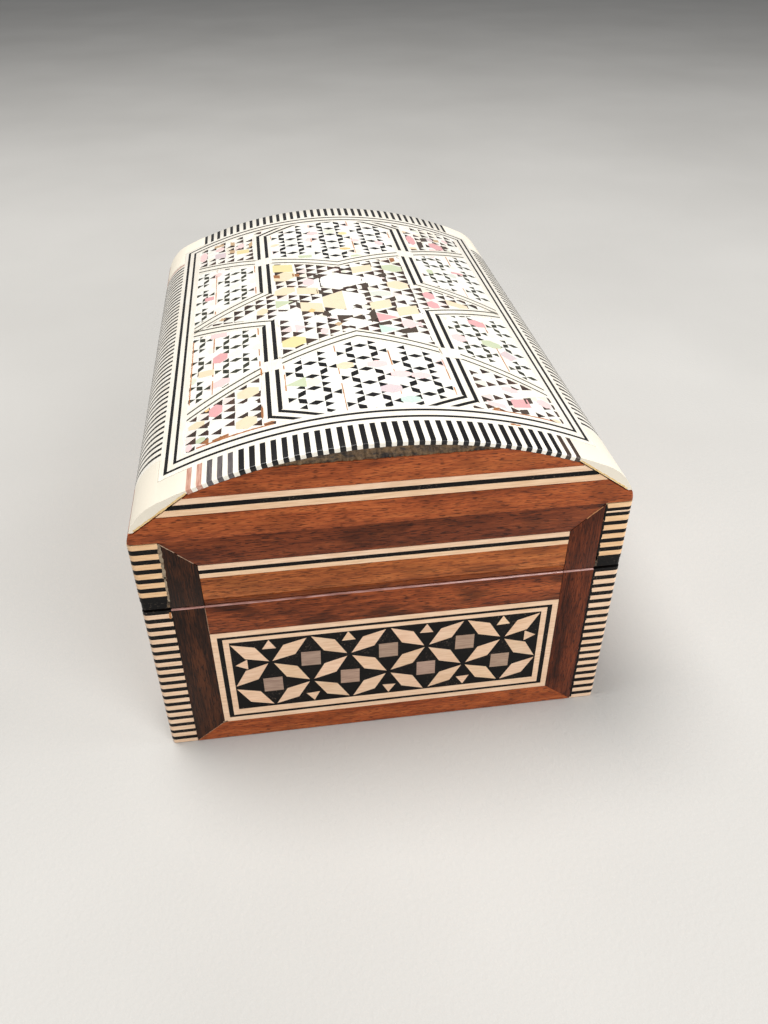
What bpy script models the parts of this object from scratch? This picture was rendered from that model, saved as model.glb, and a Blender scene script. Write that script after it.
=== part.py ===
"""Inlaid wooden trinket box with a vaulted lid that lifts off.

Metres, +Z up. X runs across the box, Y along it, and the origin is at the middle of the
underside. The end face at -Y is the front. A hollow wooden base and a hollow vaulted lid
carry thin glued facings: wood rails and stiles, striped strips round the corners, mosaic
panels, stringing, and on the lid a mosaic sheet with striped borders and bone corners.
"""
import math

import bmesh
import bpy

# Whole box
WIDTH = 0.100
LENGTH = 0.137
BASE_HEIGHT = 0.0413
LID_HEIGHT = 0.0354
CORNER_RADIUS = 0.0010

# Facings and their joints
VENEER = 0.0010
JOINT = 0.0003
PARTING = 0.0003

# Hollow of the base and the lid, with the lip that keeps the lid in place
LID_WALL = 0.0055
FLOOR = 0.0050
LIP_HEIGHT = 0.0025
LIP_THICKNESS = 0.0018
LIP_CLEARANCE = 0.0004

# Section of the lid: a flat crown arc that meets a small haunch arc above each wall
CROWN_RADIUS = 0.103
HAUNCH_RADIUS = 0.012
CROWN_FACETS = 12
HAUNCH_FACETS = 10
CORNER_FACETS = 5

# Facings of the walls
STRIP = 0.0058
STILE = 0.0067
BOTTOM_RAIL = 0.0056
PANEL_HEIGHT = 0.0277
LOW_RAIL = 0.0072
LOW_STRINGING = 0.0032

# Facings of the lid's ends: the strips end a little above the foot of the haunch, the high rail's
# ends lie on them, and the tympanum's tips lie just below the ends of the striped border
STRIP_OVER_WALL = 0.0017
RAIL_END = 0.0028
HIGH_STRINGING = 0.0038
TYMPANUM_TIP_DROP = 0.0019
TYMPANUM_FLAT_DROP = 0.0035
TIP_CLEAR = 0.0015

# Bed of the bone corners: a sloping line on the section, at these depths below the surface
BED_TOP_DEPTH = 0.0008
BED_LOW_DEPTH = 0.0009

# Facings of the vault, as lengths along the surface
END_BORDER = 0.0072
BONE_LENGTH = 0.0150
BONE_ARM = 0.0064
SIDE_BAND = 0.0119

# Cutters reach this far past what they cut
OVERCUT = 0.002

HEIGHT = BASE_HEIGHT + PARTING + LID_HEIGHT
HALF_WIDTH = WIDTH / 2
HALF_LENGTH = LENGTH / 2
LID_BOTTOM = BASE_HEIGHT + PARTING
CARCASS_INSET = VENEER + JOINT
BASE_WALL = LID_WALL + LIP_CLEARANCE + LIP_THICKNESS
PANEL_TOP = BOTTOM_RAIL + PANEL_HEIGHT
LOW_STRINGING_BOTTOM = LID_BOTTOM + LOW_RAIL
LOW_STRINGING_TOP = LOW_STRINGING_BOTTOM + LOW_STRINGING

HAUNCH_X = HALF_WIDTH - HAUNCH_RADIUS
CROWN_Z = HEIGHT - CROWN_RADIUS
CROWN_ANGLE = math.asin(HAUNCH_X / (CROWN_RADIUS - HAUNCH_RADIUS))
HAUNCH_Z = CROWN_Z + (CROWN_RADIUS - HAUNCH_RADIUS) * math.cos(CROWN_ANGLE)
HAUNCH_ANGLE = math.pi / 2 - CROWN_ANGLE
CROWN_RUN = CROWN_RADIUS * CROWN_ANGLE
WALL_RUN = CROWN_RUN + HAUNCH_RADIUS * HAUNCH_ANGLE
BOTTOM_RUN = WALL_RUN + HAUNCH_Z - LID_BOTTOM
LID_STRIP_TOP = HAUNCH_Z + STRIP_OVER_WALL

# Finishes: colour as seen, roughness, metallic
FINISHES = {
    "carcass_wood": ((176, 124, 78), 0.60, 0.0),
    "mahogany": ((140, 66, 42), 0.35, 0.0),
    "walnut": ((84, 46, 33), 0.38, 0.0),
    "striped_inlay": ((150, 128, 102), 0.35, 0.0),
    "mosaic_inlay": ((128, 106, 84), 0.35, 0.0),
    "pearl_mosaic": ((205, 196, 180), 0.22, 0.0),
    "bone": ((238, 230, 212), 0.30, 0.0),
}

for leftover in list(bpy.data.objects):
    bpy.data.objects.remove(leftover, do_unlink=True)

PARTS = bpy.data.collections.new("shell_box")
CUTTERS = bpy.data.collections.new("cutters")
for collection in (PARTS, CUTTERS):
    bpy.context.scene.collection.children.link(collection)


def linear(channel):
    """One colour channel as seen, 0 to 255, as a linear value."""
    value = channel / 255
    return value / 12.92 if value <= 0.04045 else ((value + 0.055) / 1.055) ** 2.4


def finish(name):
    """Material of one finish, made once and shared by all the pieces that take it."""
    colour, roughness, metallic = FINISHES[name]
    material = bpy.data.materials.new(name)
    material.use_nodes = True
    shader = material.node_tree.nodes["Principled BSDF"]
    shader.inputs["Base Color"].default_value = (*(linear(c) for c in colour), 1)
    shader.inputs["Roughness"].default_value = roughness
    shader.inputs["Metallic"].default_value = metallic
    material.diffuse_color = (*(c / 255 for c in colour), 1)
    return material


# The lid's section

def arch_point(run, inset=0.0):
    """Point (x, z) of the lid's section, a run along it from the crown and an inset in."""
    side = math.copysign(1, run)
    run = abs(run)
    if run <= CROWN_RUN:
        angle = run / CROWN_RADIUS
        reach = CROWN_RADIUS - inset
        return side * reach * math.sin(angle), CROWN_Z + reach * math.cos(angle)
    angle = min(CROWN_ANGLE + (run - CROWN_RUN) / HAUNCH_RADIUS, math.pi / 2)
    reach = HAUNCH_RADIUS - inset
    below = max(run - WALL_RUN, 0)
    return side * (HAUNCH_X + reach * math.sin(angle)), HAUNCH_Z + reach * math.cos(angle) - below


def run_at_height(z):
    """Run along the section from the crown down to a height on the haunch or the wall."""
    if z < HAUNCH_Z:
        return WALL_RUN + HAUNCH_Z - z
    return CROWN_RUN + HAUNCH_RADIUS * (math.acos((z - HAUNCH_Z) / HAUNCH_RADIUS) - CROWN_ANGLE)


SHEET_RUN = run_at_height(LID_STRIP_TOP) - SIDE_BAND
BONE_RUN = SHEET_RUN - BONE_ARM
BED_TOP = arch_point(BONE_RUN, BED_TOP_DEPTH)
BED_LOW = (arch_point(run_at_height(LID_STRIP_TOP + RAIL_END))[0] - BED_LOW_DEPTH,
           LID_STRIP_TOP + RAIL_END)
TYMPANUM_BOTTOM = arch_point(BONE_RUN)[1] - TYMPANUM_TIP_DROP
HIGH_STRINGING_BOTTOM = TYMPANUM_BOTTOM - HIGH_STRINGING


def facet_runs():
    """Runs at which the section's facets meet, the same for every piece on the vault."""
    crown = [CROWN_RUN * i / CROWN_FACETS for i in range(CROWN_FACETS)]
    haunch = [CROWN_RUN + (WALL_RUN - CROWN_RUN) * i / HAUNCH_FACETS for i in range(HAUNCH_FACETS + 1)]
    half = crown + haunch
    return [-run for run in reversed(half[1:])] + half


def arch_line(start, end, inset, clear=JOINT):
    """Points of the section between two runs, at one inset, with none close to the ends."""
    between = [run for run in facet_runs() if start + clear < run < end - clear]
    return [arch_point(run, inset) for run in [start] + between + [end]]


def arch_band(start, end, thickness=VENEER):
    """Outline of a skin on the vault between two runs."""
    return arch_line(start, end, 0.0) + arch_line(start, end, thickness)[::-1]


def arch_outline(inset):
    """Closed outline of the whole lid's section, flat below."""
    return arch_line(-BOTTOM_RUN, BOTTOM_RUN, inset)


# Outlines in plan

def corner_arc(sign_x, sign_y, inset):
    """Points round one corner of the plan, from its end face to its long side, or its one square point."""
    radius = CORNER_RADIUS - inset
    if radius < JOINT / 2:
        return [(sign_x * (HALF_WIDTH - inset), sign_y * (HALF_LENGTH - inset))]
    centre_x = HALF_WIDTH - CORNER_RADIUS
    centre_y = HALF_LENGTH - CORNER_RADIUS
    angles = [math.pi / 2 * i / CORNER_FACETS for i in range(CORNER_FACETS + 1)]
    return [(sign_x * (centre_x + radius * math.sin(a)), sign_y * (centre_y + radius * math.cos(a)))
            for a in angles]


def plan_outline(inset):
    """Rounded rectangle of the box in plan."""
    outline = []
    for sign_x, sign_y, order in ((1, -1, 1), (1, 1, -1), (-1, 1, 1), (-1, -1, -1)):
        outline += corner_arc(sign_x, sign_y, inset)[::order]
    return outline


def corner_outline(sign_x, sign_y):
    """Outline in plan of a facing that wraps one corner."""
    reach_x = HALF_WIDTH - STRIP + JOINT / 2
    reach_y = HALF_LENGTH - STRIP + JOINT / 2
    rings = []
    for inset in (0.0, VENEER):
        start = (sign_x * reach_x, sign_y * (HALF_LENGTH - inset))
        end = (sign_x * (HALF_WIDTH - inset), sign_y * reach_y)
        rings.append([start] + corner_arc(sign_x, sign_y, inset) + [end])
    return rings[0] + rings[1][::-1]


def shrink(outline, distance=JOINT / 2):
    """Outline with every side moved in, by half a joint unless another distance is given."""
    area = sum(a[0] * b[1] - b[0] * a[1] for a, b in zip(outline, outline[1:] + outline[:1]))
    turn = math.copysign(1, area)
    moved = []
    for before, here, after in zip(outline[-1:] + outline[:-1], outline, outline[1:] + outline[:1]):
        normals = []
        for start, end in ((before, here), (here, after)):
            length = math.dist(start, end)
            normals.append((-turn * (end[1] - start[1]) / length, turn * (end[0] - start[0]) / length))
        (ax, ay), (bx, by) = normals
        share = distance / (1 + ax * bx + ay * by)
        moved.append((here[0] + share * (ax + bx), here[1] + share * (ay + by)))
    return moved


def box_outline(low_u, high_u, low_v, high_v):
    """Rectangle between two corners."""
    return [(low_u, low_v), (high_u, low_v), (high_u, high_v), (low_u, high_v)]


def mirrored(outline):
    """Outline turned over about the vertical."""
    return [(-u, v) for u, v in reversed(outline)]


# Solids

ACROSS = (math.pi / 2, 0.0, 0.0)
ALONG = (math.pi / 2, 0.0, math.pi / 2)
LEVEL = (0.0, 0.0, 0.0)


def extruded(name, outline, low, high, turn=ACROSS):
    """Outline made solid between two places along X, Y or Z, as its turn says."""
    curve = bpy.data.curves.new(name, "CURVE")
    curve.dimensions = "2D"
    curve.fill_mode = "BOTH"
    curve.extrude = (high - low) / 2
    spline = curve.splines.new("POLY")
    spline.points.add(len(outline) - 1)
    for point, (u, v) in zip(spline.points, outline):
        point.co = (u, v, 0, 1)
    spline.use_cyclic_u = True
    solid = bpy.data.objects.new(name, curve)
    solid.rotation_euler = turn
    solid.location["XYZ".index({ACROSS: "Y", ALONG: "X", LEVEL: "Z"}[turn])] = (low + high) / 2
    PARTS.objects.link(solid)
    return solid


def as_mesh(solid):
    """The same solid as a welded mesh, ready to be cut."""
    bpy.context.view_layer.update()
    evaluated = solid.evaluated_get(bpy.context.evaluated_depsgraph_get())
    mesh = bpy.data.meshes.new_from_object(evaluated)
    work = bmesh.new()
    work.from_mesh(mesh)
    bmesh.ops.remove_doubles(work, verts=work.verts, dist=0.00001)
    bmesh.ops.recalc_face_normals(work, faces=work.faces)
    work.to_mesh(mesh)
    work.free()
    name = solid.name
    placed = solid.matrix_world.copy()
    bpy.data.objects.remove(solid, do_unlink=True)
    remade = bpy.data.objects.new(name, mesh)
    remade.matrix_world = placed
    PARTS.objects.link(remade)
    return remade


def boolean(target, tool, operation):
    """Cut, join or trim a solid with another, which becomes a hidden cutter."""
    PARTS.objects.unlink(tool)
    CUTTERS.objects.link(tool)
    tool.display_type = "WIRE"
    tool.hide_render = True
    modifier = target.modifiers.new(operation.lower(), "BOOLEAN")
    modifier.operation = operation
    modifier.object = tool
    modifier.solver = "EXACT"


def dressed(solid, material):
    """Give a solid its finish."""
    solid.data.materials.append(material)
    return solid


def block(name, low, high):
    """Box between two corners, from a primitive cube."""
    mesh = bpy.data.meshes.new(name)
    work = bmesh.new()
    bmesh.ops.create_cube(work, size=1)
    size = [b - a for a, b in zip(low, high)]
    bmesh.ops.scale(work, vec=size, verts=work.verts)
    bmesh.ops.translate(work, vec=[(a + b) / 2 for a, b in zip(low, high)], verts=work.verts)
    work.to_mesh(mesh)
    work.free()
    solid = bpy.data.objects.new(name, mesh)
    PARTS.objects.link(solid)
    return solid


def lid_body(name, inset):
    """The lid's outside, vaulted one way and rounded at the corners in plan."""
    body = as_mesh(extruded(name, arch_outline(inset), inset - HALF_LENGTH, HALF_LENGTH - inset))
    plan = extruded(name + "_plan", plan_outline(inset), LID_BOTTOM - OVERCUT, HEIGHT + OVERCUT, LEVEL)
    boolean(body, as_mesh(plan), "INTERSECT")
    return body


# Carcasses

def base_carcass(wood):
    """Hollow base with its floor and the lip inside its rim."""
    outside = plan_outline(CARCASS_INSET)
    carcass = dressed(as_mesh(extruded("base_carcass", outside, 0.0, BASE_HEIGHT, LEVEL)), wood)
    lip_x = HALF_WIDTH - LID_WALL - LIP_CLEARANCE
    lip_y = HALF_LENGTH - LID_WALL - LIP_CLEARANCE
    lip = block("lip_block", (-lip_x, -lip_y, FLOOR / 2), (lip_x, lip_y, BASE_HEIGHT + LIP_HEIGHT))
    boolean(carcass, lip, "UNION")
    hollow_x = HALF_WIDTH - BASE_WALL
    hollow_y = HALF_LENGTH - BASE_WALL
    top = BASE_HEIGHT + LIP_HEIGHT + OVERCUT
    boolean(carcass, block("base_hollow", (-hollow_x, -hollow_y, FLOOR), (hollow_x, hollow_y, top)),
            "DIFFERENCE")
    return carcass


def bed_outline():
    """Section of a bone corner's space: past its end run, above the bed and out of the wall."""
    outside = HALF_WIDTH + OVERCUT
    return [arch_point(BONE_RUN, -OVERCUT), BED_TOP, BED_LOW, (outside, BED_LOW[1]),
            (outside, HEIGHT + OVERCUT)]


def corner_space(name, end, side, gap):
    """Space of one bone corner, notched round the mosaic sheet, smaller all round by a gap."""
    sign_x = -1 if side == "left" else 1
    sign_y = -1 if end == "front" else 1
    outline = shrink(bed_outline(), gap)
    notch_run = SHEET_RUN + gap
    notch = [(0.0, CROWN_Z), arch_point(notch_run, HAUNCH_RADIUS), arch_point(notch_run, -OVERCUT),
             (0.0, HEIGHT + OVERCUT)]
    near = HALF_LENGTH - BONE_LENGTH + gap
    low, high = sorted((sign_y * near, sign_y * (HALF_LENGTH + OVERCUT)))
    space = as_mesh(extruded(name, outline if sign_x > 0 else mirrored(outline), low, high))
    notch_far = HALF_LENGTH - END_BORDER + gap
    low, high = sorted((sign_y * (near - OVERCUT), sign_y * notch_far))
    notch = as_mesh(extruded(name + "_notch", notch if sign_x > 0 else mirrored(notch), low, high))
    boolean(space, notch, "DIFFERENCE")
    return space


def lid_carcass(wood):
    """Hollow vaulted lid, bedded at its corners for the bone."""
    carcass = dressed(lid_body("lid_carcass", CARCASS_INSET), wood)
    hollow_y = HALF_LENGTH - LID_WALL
    hollow_line = arch_line(-BOTTOM_RUN - OVERCUT, BOTTOM_RUN + OVERCUT, LID_WALL)
    hollow = as_mesh(extruded("lid_hollow", hollow_line, -hollow_y, hollow_y))
    boolean(carcass, hollow, "DIFFERENCE")
    for end in ("front", "back"):
        for side in ("left", "right"):
            boolean(carcass, corner_space(f"bed_{end}_{side}", end, side, -JOINT / 2), "DIFFERENCE")
    return carcass


# Facings of the walls

def face_plate(name, outline, side, material):
    """Flat facing on one wall, from an outline as wide as its joints' middle lines."""
    along = side in ("left", "right")
    reach = HALF_WIDTH if along else HALF_LENGTH
    low, high = (reach - VENEER, reach) if side in ("back", "right") else (-reach, VENEER - reach)
    plate = extruded(name, shrink(outline), low, high, ALONG if along else ACROSS)
    return dressed(plate, material)


def base_wall(side, half_span, mats):
    """Rails, stiles and mosaic panel of one wall of the base."""
    stile_out = half_span - STRIP
    stile_in = stile_out - STILE
    stile = [(stile_in, BOTTOM_RAIL), (stile_out, 0.0), (stile_out, BASE_HEIGHT), (stile_in, BASE_HEIGHT)]
    rail = [(-stile_out, 0.0), (stile_out, 0.0), (stile_in, BOTTOM_RAIL), (-stile_in, BOTTOM_RAIL)]
    panel = box_outline(-stile_in, stile_in, BOTTOM_RAIL, PANEL_TOP)
    top_rail = box_outline(-stile_in, stile_in, PANEL_TOP, BASE_HEIGHT)
    prefix = f"base_{side}"
    face_plate(f"{prefix}_stile_left", mirrored(stile), side, mats["walnut"])
    face_plate(f"{prefix}_stile_right", stile, side, mats["walnut"])
    face_plate(f"{prefix}_bottom_rail", rail, side, mats["mahogany"])
    face_plate(f"{prefix}_top_rail", top_rail, side, mats["mahogany"])
    face_plate(f"{prefix}_mosaic_panel", panel, side, mats["mosaic_inlay"])


def bed_x(z):
    """Half width of the end face on the bed line at a height."""
    share = (z - BED_LOW[1]) / (BED_TOP[1] - BED_LOW[1])
    return BED_LOW[0] + share * (BED_TOP[0] - BED_LOW[0])


def lid_high_rail(side, mats):
    """Rail under the high stringing, whose ends turn the corners below the bone."""
    stile_out = HALF_WIDTH - STRIP
    stile_in = stile_out - STILE
    outside = HALF_WIDTH + OVERCUT
    half = [(stile_in, LOW_STRINGING_TOP), (stile_out, LID_STRIP_TOP), (outside, LID_STRIP_TOP),
            (outside, BED_LOW[1]), BED_LOW, (bed_x(HIGH_STRINGING_BOTTOM), HIGH_STRINGING_BOTTOM)]
    outline = shrink(half + mirrored(half))
    name = f"lid_{side}_high_rail"
    depth = HALF_LENGTH - BONE_LENGTH
    low, high = (-HALF_LENGTH - OVERCUT, -depth) if side == "front" else (depth, HALF_LENGTH + OVERCUT)
    rail = dressed(lid_body(name, 0.0), mats["mahogany"])
    boolean(rail, lid_body(name + "_back", VENEER), "DIFFERENCE")
    boolean(rail, as_mesh(extruded(name + "_shape", outline, low, high)), "INTERSECT")


def tympanum_outline(flat_drop):
    """Arched piece under the end border, its top cut flat where the arch is chipped."""
    flat = HEIGHT - flat_drop
    inset = VENEER + JOINT / 2
    run = CROWN_RADIUS * math.acos((TYMPANUM_BOTTOM - CROWN_Z) / (CROWN_RADIUS - inset))
    top = [(x, min(z, flat)) for x, z in arch_line(-run, run, inset, TIP_CLEAR)]
    return [here for before, here, after in zip(top[-1:] + top[:-1], top, top[1:] + top[:1])
            if not before[1] == here[1] == after[1]]


def lid_end(side, mats):
    """Facings of one end of the lid."""
    stile_out = HALF_WIDTH - STRIP
    stile_in = stile_out - STILE
    prefix = f"lid_{side}"
    stile = [(stile_in, LID_BOTTOM), (stile_out, LID_BOTTOM), (stile_out, LID_STRIP_TOP),
             (stile_in, LOW_STRINGING_TOP)]
    face_plate(f"{prefix}_stile_left", mirrored(stile), side, mats["walnut"])
    face_plate(f"{prefix}_stile_right", stile, side, mats["walnut"])
    face_plate(f"{prefix}_low_rail", box_outline(-stile_in, stile_in, LID_BOTTOM, LOW_STRINGING_BOTTOM),
               side, mats["mahogany"])
    face_plate(f"{prefix}_low_stringing",
               box_outline(-stile_in, stile_in, LOW_STRINGING_BOTTOM, LOW_STRINGING_TOP),
               side, mats["striped_inlay"])
    low_x = bed_x(HIGH_STRINGING_BOTTOM)
    top_x = bed_x(TYMPANUM_BOTTOM)
    stringing = [(-low_x, HIGH_STRINGING_BOTTOM), (low_x, HIGH_STRINGING_BOTTOM),
                 (top_x, TYMPANUM_BOTTOM), (-top_x, TYMPANUM_BOTTOM)]
    face_plate(f"{prefix}_high_stringing", stringing, side, mats["striped_inlay"])
    chipped = TYMPANUM_FLAT_DROP if side == "front" else 0.0
    face_plate(f"{prefix}_tympanum", tympanum_outline(chipped), side, mats["mahogany"])
    lid_high_rail(side, mats)


def vault_skin(name, start, end, low, high, material):
    """Skin on the vault between two runs and two places along the box."""
    outline = arch_band(start + JOINT / 2, end - JOINT / 2)
    return dressed(extruded(name, outline, low, high), material)


def lid_long_side(side, mats):
    """Plain rails and stringing of one long side of the lid."""
    sign = -1 if side == "left" else 1
    reach = HALF_LENGTH - STRIP - JOINT / 2
    heights = (LID_STRIP_TOP, LOW_STRINGING_TOP, LOW_STRINGING_BOTTOM, LID_BOTTOM - JOINT / 2)
    pieces = (("high_rail", "mahogany"), ("stringing", "striped_inlay"), ("low_rail", "mahogany"))
    for (piece, stuff), top, bottom in zip(pieces, heights, heights[1:]):
        start, end = sorted((sign * run_at_height(top), sign * run_at_height(bottom)))
        vault_skin(f"lid_{side}_{piece}", start, end, -reach, reach, mats[stuff])


def corner_strips(mats):
    """Striped strips that wrap the four upright corners of the base and of the lid."""
    for end, sign_y in (("front", -1), ("back", 1)):
        for side, sign_x in (("left", -1), ("right", 1)):
            outline = corner_outline(sign_x, sign_y)
            for level, low, high in (("base", JOINT / 2, BASE_HEIGHT - JOINT / 2),
                                     ("lid", LID_BOTTOM + JOINT / 2, LID_STRIP_TOP - JOINT / 2)):
                name = f"{level}_corner_strip_{end}_{side}"
                dressed(extruded(name, outline, low, high, LEVEL), mats["striped_inlay"])


# Facings of the vault

def bone_corner(end, side, material):
    """Bone corner of the vault, notched round the mosaic sheet's corner."""
    name = f"bone_corner_{end}_{side}"
    bone = dressed(lid_body(name, 0.0), material)
    boolean(bone, corner_space(name + "_space", end, side, JOINT / 2), "INTERSECT")


def vault(mats):
    """Mosaic sheet, striped borders and bone corners."""
    sheet_y = HALF_LENGTH - END_BORDER - JOINT / 2
    vault_skin("lid_mosaic_sheet", -SHEET_RUN, SHEET_RUN, -sheet_y, sheet_y, mats["pearl_mosaic"])
    for end, sign in (("front", -1), ("back", 1)):
        low, high = sorted((sign * (sheet_y + JOINT), sign * HALF_LENGTH))
        vault_skin(f"lid_border_{end}", -BONE_RUN, BONE_RUN, low, high, mats["striped_inlay"])
    band_y = HALF_LENGTH - BONE_LENGTH - JOINT / 2
    for side, sign in (("left", -1), ("right", 1)):
        start, stop = sorted((sign * SHEET_RUN, sign * run_at_height(LID_STRIP_TOP)))
        vault_skin(f"lid_border_{side}", start, stop, -band_y, band_y, mats["striped_inlay"])
    for end in ("front", "back"):
        for side in ("left", "right"):
            bone_corner(end, side, mats["bone"])


def main():
    """Build every piece of the box."""
    mats = {name: finish(name) for name in FINISHES}
    base_carcass(mats["carcass_wood"])
    lid_carcass(mats["carcass_wood"])
    corner_strips(mats)
    for side, half_span in (("front", HALF_WIDTH), ("back", HALF_WIDTH),
                            ("left", HALF_LENGTH), ("right", HALF_LENGTH)):
        base_wall(side, half_span, mats)
    for side in ("front", "back"):
        lid_end(side, mats)
    for side in ("left", "right"):
        lid_long_side(side, mats)
    vault(mats)


main()
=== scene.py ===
"""A small shell box: marquetry walls and a vaulted lid under mother-of-pearl mosaic.

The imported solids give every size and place, and the classes below dress them. Lengths are in metres, +Z is
up, and the front end of the box faces -Y.
"""

import logging
import math
import random
from contextlib import contextmanager
from dataclasses import dataclass, field
from enum import Enum
from typing import Callable, Iterable, Iterator, Optional, Sequence

import bpy
from mathutils import Matrix, Vector


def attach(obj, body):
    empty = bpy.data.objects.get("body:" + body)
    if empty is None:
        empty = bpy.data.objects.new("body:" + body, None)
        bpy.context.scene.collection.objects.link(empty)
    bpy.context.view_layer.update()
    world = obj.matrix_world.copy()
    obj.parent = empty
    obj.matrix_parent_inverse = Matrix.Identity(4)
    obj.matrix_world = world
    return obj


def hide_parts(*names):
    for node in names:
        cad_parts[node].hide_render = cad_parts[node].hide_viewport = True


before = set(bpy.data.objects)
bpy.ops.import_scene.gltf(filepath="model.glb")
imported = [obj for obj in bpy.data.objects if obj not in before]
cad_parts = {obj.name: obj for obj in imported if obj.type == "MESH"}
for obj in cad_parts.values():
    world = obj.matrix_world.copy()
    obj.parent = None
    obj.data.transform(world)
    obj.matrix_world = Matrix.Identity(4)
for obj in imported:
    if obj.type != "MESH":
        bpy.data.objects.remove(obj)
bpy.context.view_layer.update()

MM = 0.001
ROOT = "root"
TINT = "tint"
HAIR = 0.03 * MM          # half of the hairline joint between two facings
FACING = 1.0 * MM         # thickness of the glued facings
SUNK = 0.02 * MM          # how far the wood lies behind the strips and what has been mended
RIM = 0.32 * MM           # rounding of the base's rim
TILE_DEPTH = 0.4 * MM     # thickness of the mosaic's pieces, which are let into their ground
HALF_WIDTH = 50.0 * MM
HALF_LENGTH = 68.5 * MM
BASE_TOP = 41.3 * MM
LID_BOTTOM = 41.6 * MM

log = logging.getLogger("shell_box")

Piece = bpy.types.Object
Socket = bpy.types.NodeSocket
Colour = tuple[float, float, float]
Point = tuple[float, float, float]
Spot = tuple[float, float]


def srgb(red: int, green: int, blue: int) -> Colour:
    """Turns a paint chart's 0-255 colour into the linear colour that a shader takes.

    Args:
        red: Red, 0 to 255.
        green: Green, 0 to 255.
        blue: Blue, 0 to 255.

    Returns:
        The linear colour.
    """
    def linear(channel: int) -> float:
        """One channel, undone from its display curve."""
        value = channel / 255
        return value / 12.92 if value <= 0.04045 else ((value + 0.055) / 1.055) ** 2.4
    return linear(red), linear(green), linear(blue)


class Grain(Enum):
    """The way that a board's fibres run."""

    ACROSS = 0     # along X
    ALONG = 1      # along Y
    UPRIGHT = 2    # along Z


class Side(Enum):
    """A side of the box, with the turn about Z that brings front work there."""

    FRONT = 0
    RIGHT = 90
    BACK = 180
    LEFT = -90

    @property
    def word(self) -> str:
        """The side's word in the names of the pieces."""
        return self.name.lower()

    @property
    def grain(self) -> Grain:
        """The grain of a rail that lies along this side."""
        return Grain.ACROSS if self in (Side.FRONT, Side.BACK) else Grain.ALONG

    def hand(self, run: float) -> str:
        """The word left or right for work at this run of the wall, before it is turned into place."""
        flipped = self in (Side.BACK, Side.LEFT)
        return "left" if (run < 0) != flipped else "right"


# The bench: how pieces are made.


def only(piece: Piece) -> Piece:
    """Selects one piece alone and makes it the active one.

    Args:
        piece: The piece to work on.

    Returns:
        The same piece.
    """
    for other in list(bpy.context.selected_objects):
        other.select_set(False)
    piece.select_set(True)
    bpy.context.view_layer.objects.active = piece
    return piece


@contextmanager
def editing(piece: Piece, whole: bool = True) -> Iterator[None]:
    """Opens a piece in edit mode for as long as a with block lasts.

    Args:
        piece: The piece.
        whole: Whether all of it is selected first, or only what was chosen.

    Returns:
        The block's context.
    """
    only(piece)
    bpy.ops.object.mode_set(mode="EDIT")
    if whole:
        bpy.ops.mesh.select_all(action="SELECT")
    yield
    bpy.ops.object.mode_set(mode="OBJECT")


def named(piece: Piece, name: str) -> Piece:
    """Gives a piece and its mesh their name."""
    piece.name = piece.data.name = name
    return piece


def settle(piece: Piece, name: str) -> Piece:
    """Names a new piece and moves its place into its mesh.

    Args:
        piece: A new primitive, where it was added.
        name: The piece's name.

    Returns:
        The piece, with its object at the origin.
    """
    only(piece)
    bpy.ops.object.transform_apply(location=True, rotation=True, scale=True)
    return named(piece, name)


def cuboid(name: str, low: Point, high: Point) -> Piece:
    """Adds a block between two corners.

    Args:
        name: The piece's name.
        low: Its lowest corner.
        high: Its highest corner.

    Returns:
        The block.
    """
    middle = [(a + b) / 2 for a, b in zip(low, high)]
    bpy.ops.mesh.primitive_cube_add(size=1, location=middle)
    block = bpy.context.object
    block.scale = [b - a for a, b in zip(low, high)]
    return settle(block, name)


def prism(name: str, corners: int, radius: float, top: float, depth: float = TILE_DEPTH) -> Piece:
    """Adds an upright prism over the origin, with its first corner towards +X.

    Args:
        name: The piece's name.
        corners: How many corners it has.
        radius: Distance of each corner from the middle.
        top: Height of its top face.
        depth: Its thickness below that.

    Returns:
        The prism.
    """
    bpy.ops.mesh.primitive_cylinder_add(vertices=corners, radius=radius, depth=depth,
                                        location=(0, 0, top - depth / 2), rotation=(0, 0, -math.pi / 2))
    return settle(bpy.context.object, name)


def saw(piece: Piece, at: Point, away: Point) -> Piece:
    """Cuts off all of a piece that lies beyond a plane, and closes the cut.

    Args:
        piece: The piece to cut.
        at: A point of the plane.
        away: The way to the waste.

    Returns:
        The piece.
    """
    with editing(piece):
        bpy.ops.mesh.bisect(plane_co=at, plane_no=away, use_fill=True, clear_outer=True)
    return piece


def score(piece: Piece, step: float, axis: int = 0) -> Piece:
    """Marks a flat piece with even cuts across, so that it can bend between them.

    Args:
        piece: The piece to mark.
        step: Distance between the cuts.
        axis: The axis that the cuts follow one another along.

    Returns:
        The piece.
    """
    runs = [vertex.co[axis] for vertex in piece.data.vertices]
    first, last = math.ceil(min(runs) / step), math.floor(max(runs) / step)
    normal = Vector((0, 0, 0))
    normal[axis] = 1
    with editing(piece, whole=False):
        for cut in range(first, last + 1):
            bpy.ops.mesh.select_all(action="SELECT")
            bpy.ops.mesh.bisect(plane_co=normal * (cut * step), plane_no=normal)
    return piece


def ease(piece: Piece, width: float, segments: int = 1, limit: float = 50, edge_finish: int = -1) -> Piece:
    """Rounds a piece's sharp edges.

    Args:
        piece: The piece to round.
        width: Width of the rounding.
        segments: How many facets it has.
        limit: Only edges that turn by more than this many degrees are rounded.
        edge_finish: Slot of the finish that the rounded edges get, or -1 for their neighbours' finish.

    Returns:
        The piece.
    """
    only(piece)
    bevel = piece.modifiers.new("ease", "BEVEL")
    bevel.width = width
    bevel.segments = segments
    bevel.limit_method = "ANGLE"
    bevel.angle_limit = math.radians(limit)
    bevel.material = edge_finish
    bpy.ops.object.modifier_apply(modifier=bevel.name)
    return piece


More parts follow.
